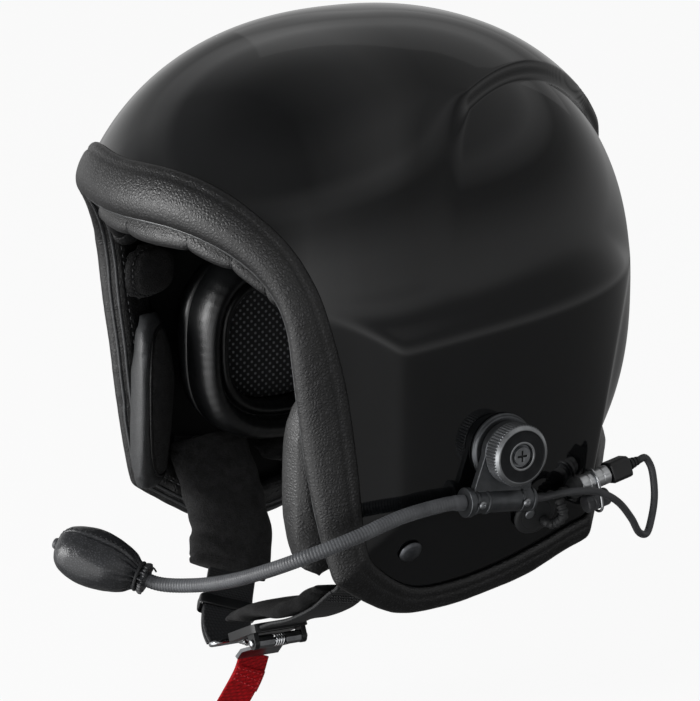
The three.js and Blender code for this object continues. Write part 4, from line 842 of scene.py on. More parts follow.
ROLL_STATIONS, ROLL_POINTS = 720, 72
OUTER_SEAM, INNER_SEAM = 0.085, 0.5
t = stations(ROLL_STATIONS)
widths = roll_width(t)
sections = np.array([corners_to_ring(roll_section(w), ROLL_POINTS) for w in widths])
bend = bend_of(on_shell(look_up(END_LINE, t)))
bend = np.convolve(np.concatenate([bend[-20:], bend, bend[:20]]), np.ones(41) / 41, "valid")
arc = np.arange(ROLL_STATIONS) / ROLL_STATIONS
rng = np.random.default_rng(7)
pucker = sum(a * np.sin(2 * math.pi * n * arc + p) for n, a, p in zip(
    rng.integers(60, 150, 12), rng.uniform(0.4, 1, 12), rng.uniform(0, 6.28, 12))) / 6
round_share = np.arange(ROLL_POINTS) / ROLL_POINTS
inner_face = smooth(0.28, 0.4, round_share) * (1 - smooth(0.6, 0.68, round_share))
seam_dip = (np.exp(-((round_share - OUTER_SEAM) / 0.012) ** 2)
            + np.exp(-((round_share - INNER_SEAM) / 0.014) ** 2))
lift = (0.16 + 0.5 * bend)[:, None] * pucker[:, None] * (0.25 + 0.75 * inner_face) - 0.75 * seam_dip
along, out = sections[..., 0], sections[..., 1]
on_the_shell = (out < 0.9) & (out > -4.3) & (along < 6.3)
lift = np.where(on_the_shell, 0, lift)
away = sections - sections.mean(axis=1, keepdims=True)
sections = sections + unit(away) * lift[..., None]
rings = np.array([rim_point(np.full(ROLL_POINTS, a), s[:, 0], s[:, 1]) for a, s in zip(t, sections)])
edge_roll = skin("leather_edge_roll", rings, black_leather, wrap=True)
dress(edge_roll, "helmet", ["edge_trim"])

# %% [markdown]
# The roll's closing seam has a stitch every 4.2 mm, in waxed black thread that sinks into the leather.
# Stitches are small spindles, each laid along the seam line. One function sews along any line.

# %% Stitches
def stitches(name, line, outward_dirs, step, length, thick, finish=thread):
    """A row of thread along a line: one mesh of small spindles."""
    count = max(2, int(length_of(line) / step))
    even_line = evenly(line, count)
    normals = unit(evenly(np.broadcast_to(outward_dirs, line.shape), count))
    points, faces, sides, rings = [], [], 6, 7
    for p, n, d in zip(even_line, normals, ahead_of(even_line)):
        b = np.cross(d, n)
        start = len(points)
        for s in np.linspace(-1, 1, rings):
            r = thick * (1 - abs(s) ** 3) ** 0.5 + 0.02
            centre = p + d * s * length / 2 + n * (thick * 0.7 - 0.5 * abs(s) ** 3)
            points += [centre + n * r * math.cos(a) + b * r * math.sin(a) for a in circle(sides)]
        faces += ring_faces(rings, sides, start=start)
        faces.append(tuple(start + k for k in reversed(range(sides))))
        faces.append(tuple(start + (rings - 1) * sides + k for k in range(sides)))
    return object_of(name, points, outward(faces, np.array(points)), finish)


seam = closed_up(rings[:, int(INNER_SEAM * ROLL_POINTS)])
middle = closed_up(rings.mean(axis=1))
dress(stitches("edge_roll_stitches", seam, unit(seam - middle), 4.2, 2.8, 0.4), "helmet")

# %% [markdown]
# Two thin welts run side by side along the roll's inner edge, where the face leather and the lining
# leather are folded over cords. Their leather is a paler copy of the roll's, a painted highlight, so they
# show as a bright double line.

# %% Welts on the edge roll
for k, (back, out) in enumerate(((-0.1, -4.6), (0.5, -8.0))):
    near = [np.argmin(np.hypot(s[:, 0] - (w - back), s[:, 1] - out)) for s, w in zip(sections, widths)]
    line = relaxed(np.array([r[j] for r, j in zip(rings, near)]), 10)
    welt = tube(f"edge_roll_welt_{k + 1}", line, 0.95, welt_leather, sides=10, closed=True)
    dress(welt, "helmet")

# %% [markdown]
# ## The lining
# Inside sits a thick foam liner, moulded to leave room for a head. It is one form between the shell and
# an egg-shaped head, so it is drawn as rings from the crown down to its lower edge.

# %% Foam liner
HEAD = vec(86, 114, 117)


def head_radius(d):
    return 1 / norm(2, *(np.abs(d[..., k]) / HEAD[k] for k in range(3)))


def foam_reach(t):
    low, high = np.full(t.shape, 0.2), np.full(t.shape, 0.9)
    for _ in range(26):
        middle = (low + high) / 2
        p = on_shell(slide(t, middle))
        above = p[..., 2] > 14 - 1.2 * np.maximum(p[..., 1] - 50, 0)
        low, high = np.where(above, middle, low), np.where(above, high, middle)
    return low


t = stations(200)
reach = foam_reach(t)
foam_outer = lambda d: 1 / dome_inverse(d) - WALL - 1.3
layers = []
for shares, radius, edge in ((np.linspace(0.01, 1, 34), foam_outer, -0.6),
                             (np.linspace(1, 0.01, 34), head_radius, 0.6)):
    for s in shares:
        d = slide(t, s * reach)
        layers.append(d * (radius(d) + edge * (s > 0.99))[:, None])
dress(skin("foam_lining", layers, liner_foam), "helmet", ["foam_liner"])

# %% [markdown]
# Each pad starts as the solid from the frame, a touch slimmer, so that it has room to swell. It is
# remeshed into even small squares and blown up a little as cloth, which pulls its sides in between the
# corners and rounds its face. What presses on the shell or the foam stays flat, because no point may
# go further out than that seat. A cap keeps any point from moving more than a few millimetres.

# %% Padded pieces
def apply_modifiers(piece):
    graph = bpy.context.evaluated_depsgraph_get()
    made = bpy.data.meshes.new_from_object(piece.evaluated_get(graph), depsgraph=graph)
    piece.modifiers.clear()
    old, piece.data = piece.data, made
    made.name = piece.name
    bpy.data.meshes.remove(old)


def read_all(items, what):
    flat = np.empty(len(items) * 3, np.float32)
    items.foreach_get(what, flat)
    return flat.reshape(-1, 3).astype(float)


def points_of(piece):
    return read_all(piece.data.vertices, "co") / MM


def normals_of(piece):
    return read_all(piece.data.vertex_normals, "vector")


def middles_of_faces(piece):
    return np.array([f.center for f in piece.data.polygons]) / MM


def move_points(piece, points):
    piece.data.vertices.foreach_set("co", (points * MM).astype(np.float32).ravel())
    piece.data.update()


def remeshed(name, node, voxel, slimmer):
    made = in_scene(name, bpy.data.objects[node].data.copy())
    made.data.materials.clear()
    grid = made.modifiers.new("squares", "REMESH")
    grid.mode, grid.voxel_size = "VOXEL", voxel * MM
    apply_modifiers(made)
    move_points(made, points_of(made) - normals_of(made) * slimmer)
    return made

# %% [markdown]
# All the pads are blown up in one short cloth simulation. Each is then made finer and pressed flat where
# it lies on its seat: the foam, the roll, or whichever of the two comes first.

# %% Swelling the pads
LAST_FRAME = 20


def swell(most):
    """Blows the pads up together in one short simulation; most is how far each may swell."""
    rest = {p: points_of(p) for p in most}
    for p in most:
        cloth = p.modifiers.new("cloth", "CLOTH")
        cloth.settings.use_pressure = True
        cloth.settings.uniform_pressure_force = 4.0
        cloth.settings.effector_weights.gravity = 0
        cloth.settings.quality = 5
        cloth.point_cache.frame_start, cloth.point_cache.frame_end = 1, LAST_FRAME
    for at in range(1, LAST_FRAME + 1):
        bpy.context.scene.frame_set(at)
    for p in most:
        apply_modifiers(p)
    bpy.context.scene.frame_set(1)
    for p in most:
        step = points_of(p) - rest[p]
        far = np.linalg.norm(step, axis=1, keepdims=True)
        step = step * np.minimum(1, most[p] / np.maximum(far, 1e-6))
        print(f"{p.name}: swelled {np.median(far):.1f} mm, held to {np.linalg.norm(step, axis=1).max():.1f}")
        move_points(p, rest[p] + step)


def finer(piece, seat):
    """One subdivision, and then flat where it rests on its seat."""
    more = piece.modifiers.new("finer", "SUBSURF")
    more.levels = more.render_levels = 1
    apply_modifiers(piece)
    p = points_of(piece)
    far = np.linalg.norm(p, axis=1)
    most = seat(p / far[:, None])
    move_points(piece, p * (np.minimum(far, most) / far)[:, None])
    shaded_smooth(piece)


ROLL_DEPTH = 11.5


def on_foam(d):
    return head_radius(d) - 0.5


def on_roll(d):
    return shell_radius(d) - ROLL_DEPTH - 1.5


def on_either(d):
    return np.minimum(on_foam(d), on_roll(d))


temple = remeshed("left_temple_cushion", "left_temple_pad", 3.0, 0.9)
cheek = remeshed("left_cheek_cushion", "left_cheek_pad", 3.6, 1.4)
neck = remeshed("left_neck_cushion", "left_neck_pad", 3.6, 0.9)
crown_cushion = remeshed("crown_cushion", "crown_pad", 4.5, 0.8)
nape_cushion = remeshed("nape_cushion", "nape_pad", 4.5, 1.2)
swell({temple: 2.2, cheek: 3.2, neck: 2.2, crown_cushion: 2.6, nape_cushion: 3.2})
for piece, seat in {temple: on_roll, cheek: on_roll, neck: on_roll, crown_cushion: on_foam,
                    nape_cushion: on_either}.items():
    finer(piece, seat)

# %% [markdown]
# The sewing comes after the swelling. A pad's face is bounded by a seam, drawn as a line at one share of
# the way from the pad's middle to its edge. The cover sinks along the seam, a cord is piped into it, and
# the cheek pads change there from fleece on the face to leather round the side. The left cheek pad's
# leather is the roll's own, and the right one's is a paler, smoother copy of it: painted light on that
# cheek. A pad's frame is its middle and three directions: along it, across it and towards the head.

# %% Seams on the pads
PAD_ROUNDNESS = 2.8


def pad_frame(shares, along, inward):
    z = unit(inward)
    x = unit(np.asarray(along, float) - np.dot(along, z) * z)
    return shares * DOME, np.stack([x, np.cross(z, x), z])


def share_of(points, centre, rows, half_along, half_across):
    """How far each point is on its way from the pad's middle, at 0, to its edge, at 1."""
    local = (points - centre) @ rows.T
    return norm(PAD_ROUNDNESS, np.abs(local[:, 0]) / half_along, np.abs(local[:, 1]) / half_across)


def seam_loop(piece, centre, rows, half_along, half_across, share, count=160, lift=0.0):
    """Points on the pad's face, all at one share of the way to its edge."""
    loop = []
    for a in circle(count):
        k = share / norm(PAD_ROUNDNESS, abs(math.cos(a)), abs(math.sin(a)))
        q = centre + rows[0] * math.cos(a) * k * half_along + rows[1] * math.sin(a) * k * half_across
        hit, at, _, _ = piece.ray_cast(Vector((q + rows[2] * 60) * MM), Vector(-rows[2]), distance=0.12)
        if hit:
            loop.append(np.array(at) / MM + rows[2] * lift)
    return relaxed(np.array(loop), 6)


def sink_along(piece, loop, depth, width):
    """Draws the cover in along the line, deepest on it."""
    p, n = points_of(piece), normals_of(piece)
    near = np.concatenate([np.linalg.norm(part[:, None] - loop, axis=2).min(axis=1)
                           for part in np.array_split(p, max(1, len(p) // 4000))])
    move_points(piece, p - n * (depth * np.exp(-(near / width) ** 2))[:, None])


def both_sides(piece, body, node=None):
    other = mirror_of(piece, piece.name.replace("left", "right"))
    dress(piece, body, ["left_" + node] if node else ())
    dress(other, body, ["right_" + node] if node else ())

# %% [markdown]
# The cheek pads get the deepest seam and a piping. The temple and neck pads are fleece all over, and the
# temple pads are stitched along their seam.

# %% Cheek, temple and neck pads
middle, cheek_rows = pad_frame((0.8148, -0.5, -0.465), (0, 0, 1), (-0.98, -0.2, 0))
CHEEK = (middle + cheek_rows[1] * 4.5, cheek_rows, 52, 14)
BAND_SEAM = 0.74
sink_along(cheek, seam_loop(cheek, *CHEEK, BAND_SEAM), 1.3, 1.6)
for one in (fleece, lining_leather_and_painted_light):
    cheek.data.materials.append(one)
mids = middles_of_faces(cheek)
on_face = (share_of(mids, *CHEEK) < BAND_SEAM) & ((mids - middle) @ cheek_rows[2] > 4)
cheek.data.polygons.foreach_set("material_index", np.where(on_face, 0, 1).astype(np.int32))
both_sides(cheek, "helmet", "cheek_pad")
# The left cheek band takes the roll's leather, and the right one keeps the paler copy: painted light.
cheek.data.materials[1] = black_leather
piping_line = seam_loop(cheek, *CHEEK, BAND_SEAM + 0.005, lift=0.25)
piping = tube("left_cheek_piping", piping_line, 0.75, black_leather, sides=10, closed=True)
both_sides(piping, "helmet")

TEMPLE = (*pad_frame((0.7778, -0.479, 0.0221), (0, 0, 1), (-84, 68, -3)), 14.5, 16)
sink_along(temple, seam_loop(temple, *TEMPLE, 0.86, count=110), 0.9, 1.4)
temple.data.materials.append(fleece)
both_sides(temple, "helmet", "temple_pad")
edge = stitches("left_temple_stitches", seam_loop(temple, *TEMPLE, 0.86, count=110, lift=0.1),
                TEMPLE[1][2], 3.0, 2.0, 0.3)
both_sides(edge, "helmet")

NECK = (*pad_frame((0.8519, 0.19, -0.7823), (-0.2, 0.98, 0.1), (-1, 0, 0)), 41, 13)
neck.data.materials.append(fleece)
sink_along(neck, seam_loop(neck, *NECK, 0.84), 0.9, 1.5)
both_sides(neck, "helmet", "neck_pad")

# %% [markdown]
# The crown pad is leather, quilted by three channels from front to back and two across. The nape pad is
# fleece with two upright channels. Each channel is a line of small pulls on the cover.

# %% Quilted pads
def channel(piece, axis, places, depth, width, inner):
    """Upright to the axis, at each place along it; inner says where the face is."""
    p, n = points_of(piece), normals_of(piece)
    pull = sum(np.exp(-((p[:, axis] - at) / width) ** 2) for at in places)
    move_points(piece, p - n * (depth * pull * inner(p))[:, None])


crown_cushion.data.materials.append(lining_leather_and_painted_light)
crown_face = lambda p: smooth(0.5, 3.5, on_foam(unit(p)) - np.linalg.norm(p, axis=1))
nape_face = lambda p: smooth(1, 4, on_either(unit(p)) - np.linalg.norm(p, axis=1))
channel(crown_cushion, 0, (-21, 0, 21), 1.7, 1.7, crown_face)
channel(crown_cushion, 1, (-10, 24), 1.5, 1.7, crown_face)
dress(crown_cushion, "helmet", ["crown_pad"])
nape_cushion.data.materials.append(fleece)
channel(nape_cushion, 0, (-17, 17), 1.8, 1.8, nape_face)
dress(nape_cushion, "helmet", ["nape_pad"])

# %% [markdown]
# ## The brow pad
# Eight leather segments hang below the roll across the brow, each plump in its middle and pulled in at
# the seams, so the lower edge is scalloped. Fine folds run away from every seam.

# %% Brow pad
SEGMENTS, STEPS, BROW_REACH, SECTION = 8, 30, 0.11316, 44
rows, rng = [], np.random.default_rng(3)
fold = rng.uniform(-1, 1, (SEGMENTS * 2 + 2, 6))
turn = circle(SECTION)
top = -ROLL_DEPTH - 1.2
for i in range(SEGMENTS * STEPS + 1):
    share = i / (SEGMENTS * STEPS)
    t = (share * 2 - 1) * BROW_REACH
    width = float(roll_width(t))
    place_in = (i % STEPS) / STEPS
    plump = abs(math.sin(place_in * math.pi)) ** 0.42
    full = 9.5 - 2.9 * (1 - plump)
    end = float(smooth(0, 0.12, share) * smooth(0, 0.12, 1 - share))
    reach = width - 2.5 + 13 * (0.3 + 0.7 * end) - 3.0 * (1 - plump)
    corners = [
        (width - 21.5, top), (width - 9, top + 0.3), (width - 2.5, top + 0.3), (reach - 3.5, top + 0.35),
        (reach - 0.9, top - full * 0.12), (reach, top - full * 0.4), (reach - 0.9, top - full * 0.72),
        (reach - 4.2, top - full * 0.96), (width - 9, top - full), (width - 17, top - full * 0.72),
        (width - 21.8, top - 2.5),
    ]
    ring = corners_to_ring(corners, SECTION)
    middle = ring.mean(axis=0)
    near_seam = math.exp(-(min(place_in, 1 - place_in) / 0.16) ** 2)
    side = (i // STEPS) * 2 + (place_in > 0.5)
    wave = sum(fold[side, k] * np.sin((k + 2) * turn + 3 * k) for k in range(6)) / 3
    ring = middle + (ring - middle) * (1 + 0.028 * near_seam * wave[:, None])
    rows.append(rim_point(np.full(SECTION, t % 1), ring[:, 0], ring[:, 1]))
brow = skin("segmented_brow_pad", rows, black_leather)
dress(brow, "helmet", ["brow_pad"])
for i in range(1, SEGMENTS):
    ring = rows[i * STEPS]
    line = ring[4:33]
    dress(stitches(f"brow_seam_{i}", line, unit(line - ring.mean(axis=0)), 2.6, 1.9, 0.3), "helmet")

# %% [markdown]
# ## The ear cups
# Each cup is closed by a soft leather ring with two ridges: a plump outer one that meets the head and a
# lower inner one, with a deep gutter between them. The ring is a rounded D, 104 by 100 mm.

# %% Ear seals
EAR_Y, EAR_Z, EAR_LONG, EAR_HIGH, MOUTH = -3.0, -38.0, 52.0, 50.0, 78.997
GUTTER = (11.9, 11.2)


def ear_outline(turn, inset):
    k = 1 / norm(2.7, np.abs(np.cos(turn)), np.abs(np.sin(turn)))
    return EAR_Y + np.cos(turn) * k * (EAR_LONG - inset), EAR_Z + np.sin(turn) * k * (EAR_HIGH - inset)


seal_corners = [
    (0.3, 0.3), (-0.1, 5), (0.1, 10.5), (1.4, 15.6), (4.0, 19.0), (7.0, 19.9), (9.6, 18.2), (11.0, 14.6),
    GUTTER, (13.0, 12.6), (14.8, 14.2), (17.2, 13.2), (18.8, 9.6), (19.0, 4.5), (18.4, 0.4), (9, 0.2),
]
section = corners_to_ring(seal_corners, 64)
turns = circle(300)
rng = np.random.default_rng(11)
gathers = sum(a * np.sin(n * turns + p) for n, a, p in zip(
    rng.integers(30, 90, 10), rng.uniform(0.4, 1, 10), rng.uniform(0, 6.3, 10))) / 6
in_gutter = 0.4 + 0.6 * np.exp(-((section[:, 0] - 11.5) / 2.5) ** 2)
pull = unit(section - (9.5, 9.0)) * (0.42 * smooth(1, 5, section[:, 1]) * in_gutter)[:, None]
rows = []
for a, g in zip(turns, gathers):
    ring = section + pull * g
    y, z = ear_outline(a, ring[:, 0])
    rows.append(np.stack([MOUTH - 0.3 - ring[:, 1], y, z], axis=1))
seal_ring = skin("left_ear_cushion_ring", rows, seal_leather, wrap=True)
both_sides(seal_ring, "helmet", "ear_seal")
lowest = np.argmin(np.abs(section - GUTTER).sum(axis=1))
gutter = closed_up(np.array(rows)[:, lowest])
both_sides(stitches("left_ear_ring_stitches", gutter, vec(-1, 0, 0), 3.6, 2.4, 0.3), "helmet")

# %% [markdown]
# Behind the ring the dotted cloth is stretched over a thin plate, bulging a little in the middle where
# the speaker is. The cup itself is a deep moulded bowl with a flat lip.

# %% Speaker cloth and cups
rows = []
for s in (0.03, 0.25, 0.5, 0.75, 0.93, 0.985, 1.0):
    bulge = (0.95 if s == 1 else 1.7) + 1.1 * (1 - s * s)
    rows.append(ring_at(MOUTH - bulge, *ear_outline(circle(120), 19.35 + (1 - s) * 31)))
cloth = skin("left_dotted_cloth", rows + [rows[-1] + (0.85, 0, 0)], dotted_cloth)
both_sides(cloth, "helmet", "speaker_grille")


def cup_ring(share, depth, slope, inset=0.0):
    """A ring of the bowl, from its floor, near share 0, to its mouth, at share 1."""
    x = MOUTH + depth * (1 - share**2.6) ** (1 / 2.6)
    return ring_at(x, *ear_outline(circle(96), (1 - share) * slope + inset))


outer = [cup_ring(s, 28.5, 45) for s in np.linspace(0.06, 1, 22)]
inner = [cup_ring(s, 25.4, 42, 3) for s in np.linspace(1, 0.06, 12)]
bowl = skin("left_cup_bowl", outer + [cup_ring(1, 0, 0, 2.9)] + inner, black_plastic)
both_sides(bowl, "helmet", "ear_cup")


def refinish(finish, *nodes):
    """A solid from the frame keeps its shape and gets a real finish."""
    for node in nodes:
        for place in bpy.data.objects[node].material_slots:
            place.material = finish


refinish(black_plastic, "left_speaker", "right_speaker")
refinish(liner_foam, "left_cup_spacer", "right_cup_spacer")

# %% [markdown]
# ## The chin strap
# Each half of the chin strap starts at a domed rivet through the shell, runs inside the edge roll as a
# short sewn tab, and goes on as 25 mm webbing. A strap is a ribbon: rings of a flat section with rounded
# edges, and every point knows its place on the flat webbing, so the weave runs true round each bend.

# %% Ribbons
BACK_AND_FORTH = vec(0.05, 1, 0)
STRAP_SIDES = 36


def strap_frames(line, across_dir=BACK_AND_FORTH):
    ahead = ahead_of(line)
    above = unit(np.cross(ahead, across_dir))
    return above, np.cross(above, ahead)


def flattened(wave, power):
    """A sine or cosine made squarer by a low power."""
    return np.sign(wave) * np.abs(wave) ** power


def ribbon(name, points, width, thick, finish=black_webbing, across_dir=BACK_AND_FORTH, wave=0.2,
           count=140, part=(0.0, 1.0), lift=0.0):
    """wave is how far the strap sways; part is the stretch of the line that it covers."""
    line = evenly(spline(points), 400)
    first, last = (int(share * (len(line) - 1)) for share in part)
    line = evenly(line[first:last + 1], count)
    above, across = strap_frames(line, across_dir)
    run = run_along(line)
    turn = circle(STRAP_SIDES)
    w = width / 2 * flattened(np.cos(turn), 0.22)
    h = thick / 2 * flattened(np.sin(turn), 0.55)
    h = h * (1 + 0.22 * np.exp(-((np.abs(w) - width * 0.46) / 0.9) ** 2))
    inner = smooth(0, 12, run) * (1 - smooth(run[-1] - 12, run[-1], run))
    sway = lift + wave * np.sin(run / 9.0 + 1.3) * inner
    rings = line[:, None] + across[:, None] * w[:, None] + above[:, None] * (h + sway[:, None])[..., None]
    lay = np.zeros(rings.shape)
    lay[..., 0], lay[..., 1] = w, run[:, None]
    return skin(name, rings, finish, lay=lay), line, above, across


LEFT = [(74.728, -52.123, -125.261), (64.999, -56.501, -134.495), (54, -61.501, -141.497),
        (41.627, -65.5, -146.372), (33.753, -65.326, -150.069)]
RIGHT = [(-69.792, -35.46, -119.329), (-60.998, -37.6, -132.994), (-51.004, -44.45, -145.994),
         (-38.005, -54.588, -157.995), (-22.612, -63.997, -168.808), (-16.563, -64.214, -173.698)]
left_web, *left_frames = ribbon("left_chin_webbing", LEFT, 25, 2)
dress(left_web, "left_strap_body", ["left_strap"])
right_web, *_ = ribbon("right_chin_webbing", RIGHT, 25, 2)
dress(right_web, "right_strap_body", ["right_strap"])

# %% [markdown]
# The tabs lie flat under the shell at the rivet, turn inwards over the edge roll and come out below it.
# Three rows of waxed thread, a bar tack, close the left tab, and three more hold its webbing. The right
# ones are under the fleece sleeve.

# %% Tabs and bar tacks
TAB_ACROSS = vec(0.061, -0.99, 0.125)
HALF_TAB = [(102.767, -36.835, -91.027), (100.38, -37.6, -95.922), (98.035, -38.352, -100.729),
            (85.47, -38.922, -99.117)]


def bar_tack(name, frames, body, places, half=9.5, lift=1.05, size=(1.5, 1.5, 0.34), finish=thread):
    """Rows of thread across a strap, at shares of its length; size is step, length and thickness."""
    line, above, across = frames
    for k, at in enumerate(places):
        i = int(at * (len(line) - 1))
        row = line[i] + across[i] * np.linspace(-half, half, 30)[:, None] + above[i] * lift
        dress(stitches(f"{name}_{k + 1}", row, above[i], *size, finish), body)


def tab_ribbon(side, outward_sign, ends):
    mirror = vec(outward_sign, 1, 1)
    blend = smooth(0.3, 1, np.linspace(0, 1, 120))[:, None]
    direction = (TAB_ACROSS * (1 - blend) + BACK_AND_FORTH * blend) * mirror
    piece, *frames = ribbon(f"{side}_sewn_tab", np.array(HALF_TAB + ends) * mirror, 25, 2.1,
                            across_dir=direction, wave=0.0, count=120)
    dress(piece, "helmet", [f"{side}_strap_tab"])
    return frames


left_tab = tab_ribbon("left", 1, [(79.002, -50.199, -121.203), (75.21, -51.906, -124.803)])
tab_ribbon("right", -1, [(73.119, -34.651, -114.16), (70.168, -35.369, -118.745)])
bar_tack("left_tab_tack", left_tab, "helmet", (0.86, 0.9, 0.94))
bar_tack("left_web_tack", left_frames, "left_strap_body", (0.05, 0.09, 0.13))

# %% [markdown]
# On the right a fleece sleeve covers the tab and the upper half of the webbing. It is a flat stocking,
# 43 mm wide, with a turned hem at both ends. It bends with the strap where the strap leaves the helmet.
# On the left a fleece pad lies between the strap and the chin, and reaches over the buckle.

# %% Fleece sleeve and chin pad
def soft_strip(name, line, half_width, up, down, seed, folds):
    """A padded strip of fleece round a line; up and down are its thickness above and below."""
    above, across = strap_frames(line)
    share, turn = np.linspace(0, 1, len(line))[:, None], circle(56)
    rng = np.random.default_rng(seed)
    full = 1 - np.abs(2 * share - 1) ** 9 * 0.55
    w = half_width * (0.9 + 0.1 * full) * flattened(np.cos(turn), 0.62)
    h = np.where(np.sin(turn) > 0, up, down) * full * flattened(np.sin(turn), 0.8)
    waves = 0
    for _ in range(7):
        n, m, p = rng.uniform(1.5, 6), rng.integers(1, 4), rng.uniform(0, 6.3)
        waves = waves + rng.uniform(0.3, 1) * np.sin(2 * math.pi * n * share + m * turn + p)
    hems = sum(0.7 * np.exp(-((share - at) / 0.012) ** 2) for at in (0.045, 0.955))
    bulge = (waves * folds / 3.5 - hems)[..., None]
    out = unit(np.stack([w / half_width**2, h / up**2], axis=-1) + 1e-9) * bulge
    w, h = w + out[..., 0], h + out[..., 1]
    return skin(name, line[:, None] + across[:, None] * w[..., None] + above[:, None] * h[..., None], fleece)


over_tab = [(-88, -36, -87), (-86, -35, -97), (-80.5, -34.5, -106.5)]
upper_half = evenly(spline(RIGHT), 200)[2:101:22]
sleeve_line = evenly(spline(np.vstack([over_tab, upper_half])), 110) + vec(0, -2.5, 0)
sleeve = soft_strip("right_fleece_sleeve", sleeve_line, 21.5, 10.2, 4.2, seed=5, folds=0.9)
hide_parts("right_strap_pad")
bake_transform(sleeve)
CHIN = [(71.294, -53.666, -128.663), (60.313, -58.717, -137.85), (47.525, -63.928, -144.154),
        (32.038, -65.248, -147.119), (17.559, -64.928, -153.919), (7.906, -64.714, -158.452)]
chin_line = evenly(spline(CHIN), 90)
chin_above, _ = strap_frames(chin_line)
chin_pad = soft_strip("left_fleece_chin_pad", chin_line - chin_above * 5.6, 16.8, 3.6, 3.9, seed=9, folds=0.5)
dress(chin_pad, "left_strap_body", ["left_strap_pad"])

# %% [markdown]
# The webbing's free end is folded back under the right strap and held by a keeper, a flat moulded loop.

# %% Keeper and free end
tail, tail_line, tail_above, _ = ribbon("right_webbing_tail", RIGHT, 25, 1.9, wave=0.3, count=80,
                                        part=(0.6, 0.955), lift=-2.6)
dress(tail, "right_strap_body")
KEEPER_AT, HALF_W, HALF_H, BAR = 28, 14.2, 3.9, 3.2
quarter = [(HALF_W, HALF_H * 0.75), (HALF_W * 0.93, HALF_H)]
outline = [(HALF_W, 0), *quarter, (0, HALF_H), *[(-x, y) for x, y in quarter[::-1]]]
outline = spline([(x * s, y * s, 0) for s in (1, -1) for x, y in outline], 8, closed=True)
corners = [(-BAR, 0.2), (-BAR * 0.8, 0.55), (0, 0.65), (BAR * 0.8, 0.55), (BAR, 0.2), (BAR, -0.35),
           (BAR * 0.8, -0.6), (-BAR * 0.8, -0.6), (-BAR, -0.35)]
ahead, above = ahead_of(tail_line)[KEEPER_AT], tail_above[KEEPER_AT]
across, centre = np.cross(above, ahead), tail_line[KEEPER_AT] - above * 1.2
rings = [[centre + across * (q[0] + g[0] * o) + above * (q[1] + g[1] * o) + ahead * a for a, o in corners]
         for q, g in zip(outline, unit(outline * (0.35, 1, 1)))]
dress(skin("strap_keeper", rings, black_plastic, wrap=True), "right_strap_body")

# %% [markdown]
# The buckle is a slotted plate with two ears for the lever's pin. Real edges are never sharp: sheet
# metal is tumbled and plastic leaves its mould with small radii. So these pieces are the frame's own
# solids with their flat faces merged and a fine bevel along every edge.

# %% Bevelled hardware
def softened(node, name, finish, bevel_mm, body, angle=32, segments=3):
    made = in_scene(name, bpy.data.objects[node].data.copy())
    made.data.materials.clear()
    made.data.materials.append(finish)
    mesh = bmesh.new()
    mesh.from_mesh(made.data)
    bmesh.ops.remove_doubles(mesh, verts=mesh.verts, dist=2e-6)
    bmesh.ops.dissolve_limit(mesh, angle_limit=math.radians(3), verts=mesh.verts, edges=mesh.edges)
    mesh.to_mesh(made.data)
    mesh.free()
    rounding = made.modifiers.new("rounded_edges", "BEVEL")
    rounding.width, rounding.segments = bevel_mm * MM, segments
    rounding.limit_method, rounding.angle_limit = "ANGLE", math.radians(angle)
    rounding.harden_normals = False
    apply_modifiers(made)
    shaded_smooth(made)
    shade = made.modifiers.new("flat_faces", "WEIGHTED_NORMAL")
    shade.keep_sharp = True
    apply_modifiers(made)
    return dress(made, body, [node])


softened("buckle_body", "slotted_buckle_plate", black_plastic, 0.6, "left_strap_body")
softened("buckle_lever", "bent_buckle_lever", zinc, 0.3, "lever", segments=2)
PIN = vec(29.907, -65.318, -159.055)
AHEAD = unit(vec(-0.905, 0.02, -0.425))
ACROSS = unit(vec(0.027, 1, -0.011))
OUT = unit(vec(0.425, -0.021, -0.905))
PIN_ROWS = np.stack([ACROSS, OUT, np.cross(ACROSS, OUT)])
half_pin = [(14.4, 1.4), (14.6, 1.9), (15.4, 1.8), (15.9, 1.0), (15.9, 0)]
pin = turned("lever_pin_riveted", [(-x, r) for x, r in half_pin[::-1]] + half_pin, PIN, PIN_ROWS, chrome,
             sides=32, ease=0.25)
dress(pin, "left_strap_body", ["lever_pin"])
COILS, COIL_PITCH, COIL_RADIUS = 4, 1.3, 2.7
coil = np.linspace(0, 1, 260)[:, None]
turn = coil * COILS * 2 * math.pi
coil_line = (PIN + AHEAD * COIL_RADIUS * np.cos(turn) + OUT * COIL_RADIUS * np.sin(turn)
             + ACROSS * (coil - 0.5) * COILS * COIL_PITCH)
dress(tube("lever_return_spring", coil_line, 0.4, chrome, sides=10), "left_strap_body", ["lever_spring"])

# %% [markdown]
# The hook is a turned, chromed barrel with a knurled collar, and a wire ring that the right strap is
# sewn through. The red pull tab is a ribbon with its end folded back, and a sewn box of red thread,
# three rows across and two along, holds the fold.

# %% Hook and pull tab
HOOK_ROWS = np.stack([AHEAD, ACROSS, np.cross(AHEAD, ACROSS)])
BUCKLE = vec(19.002, -65.0, -156.996)


def knurl(x, r, turn):
    return 0.22 * np.sign(np.sin(26 * turn)) * (abs(r - 4.4) < 0.5)


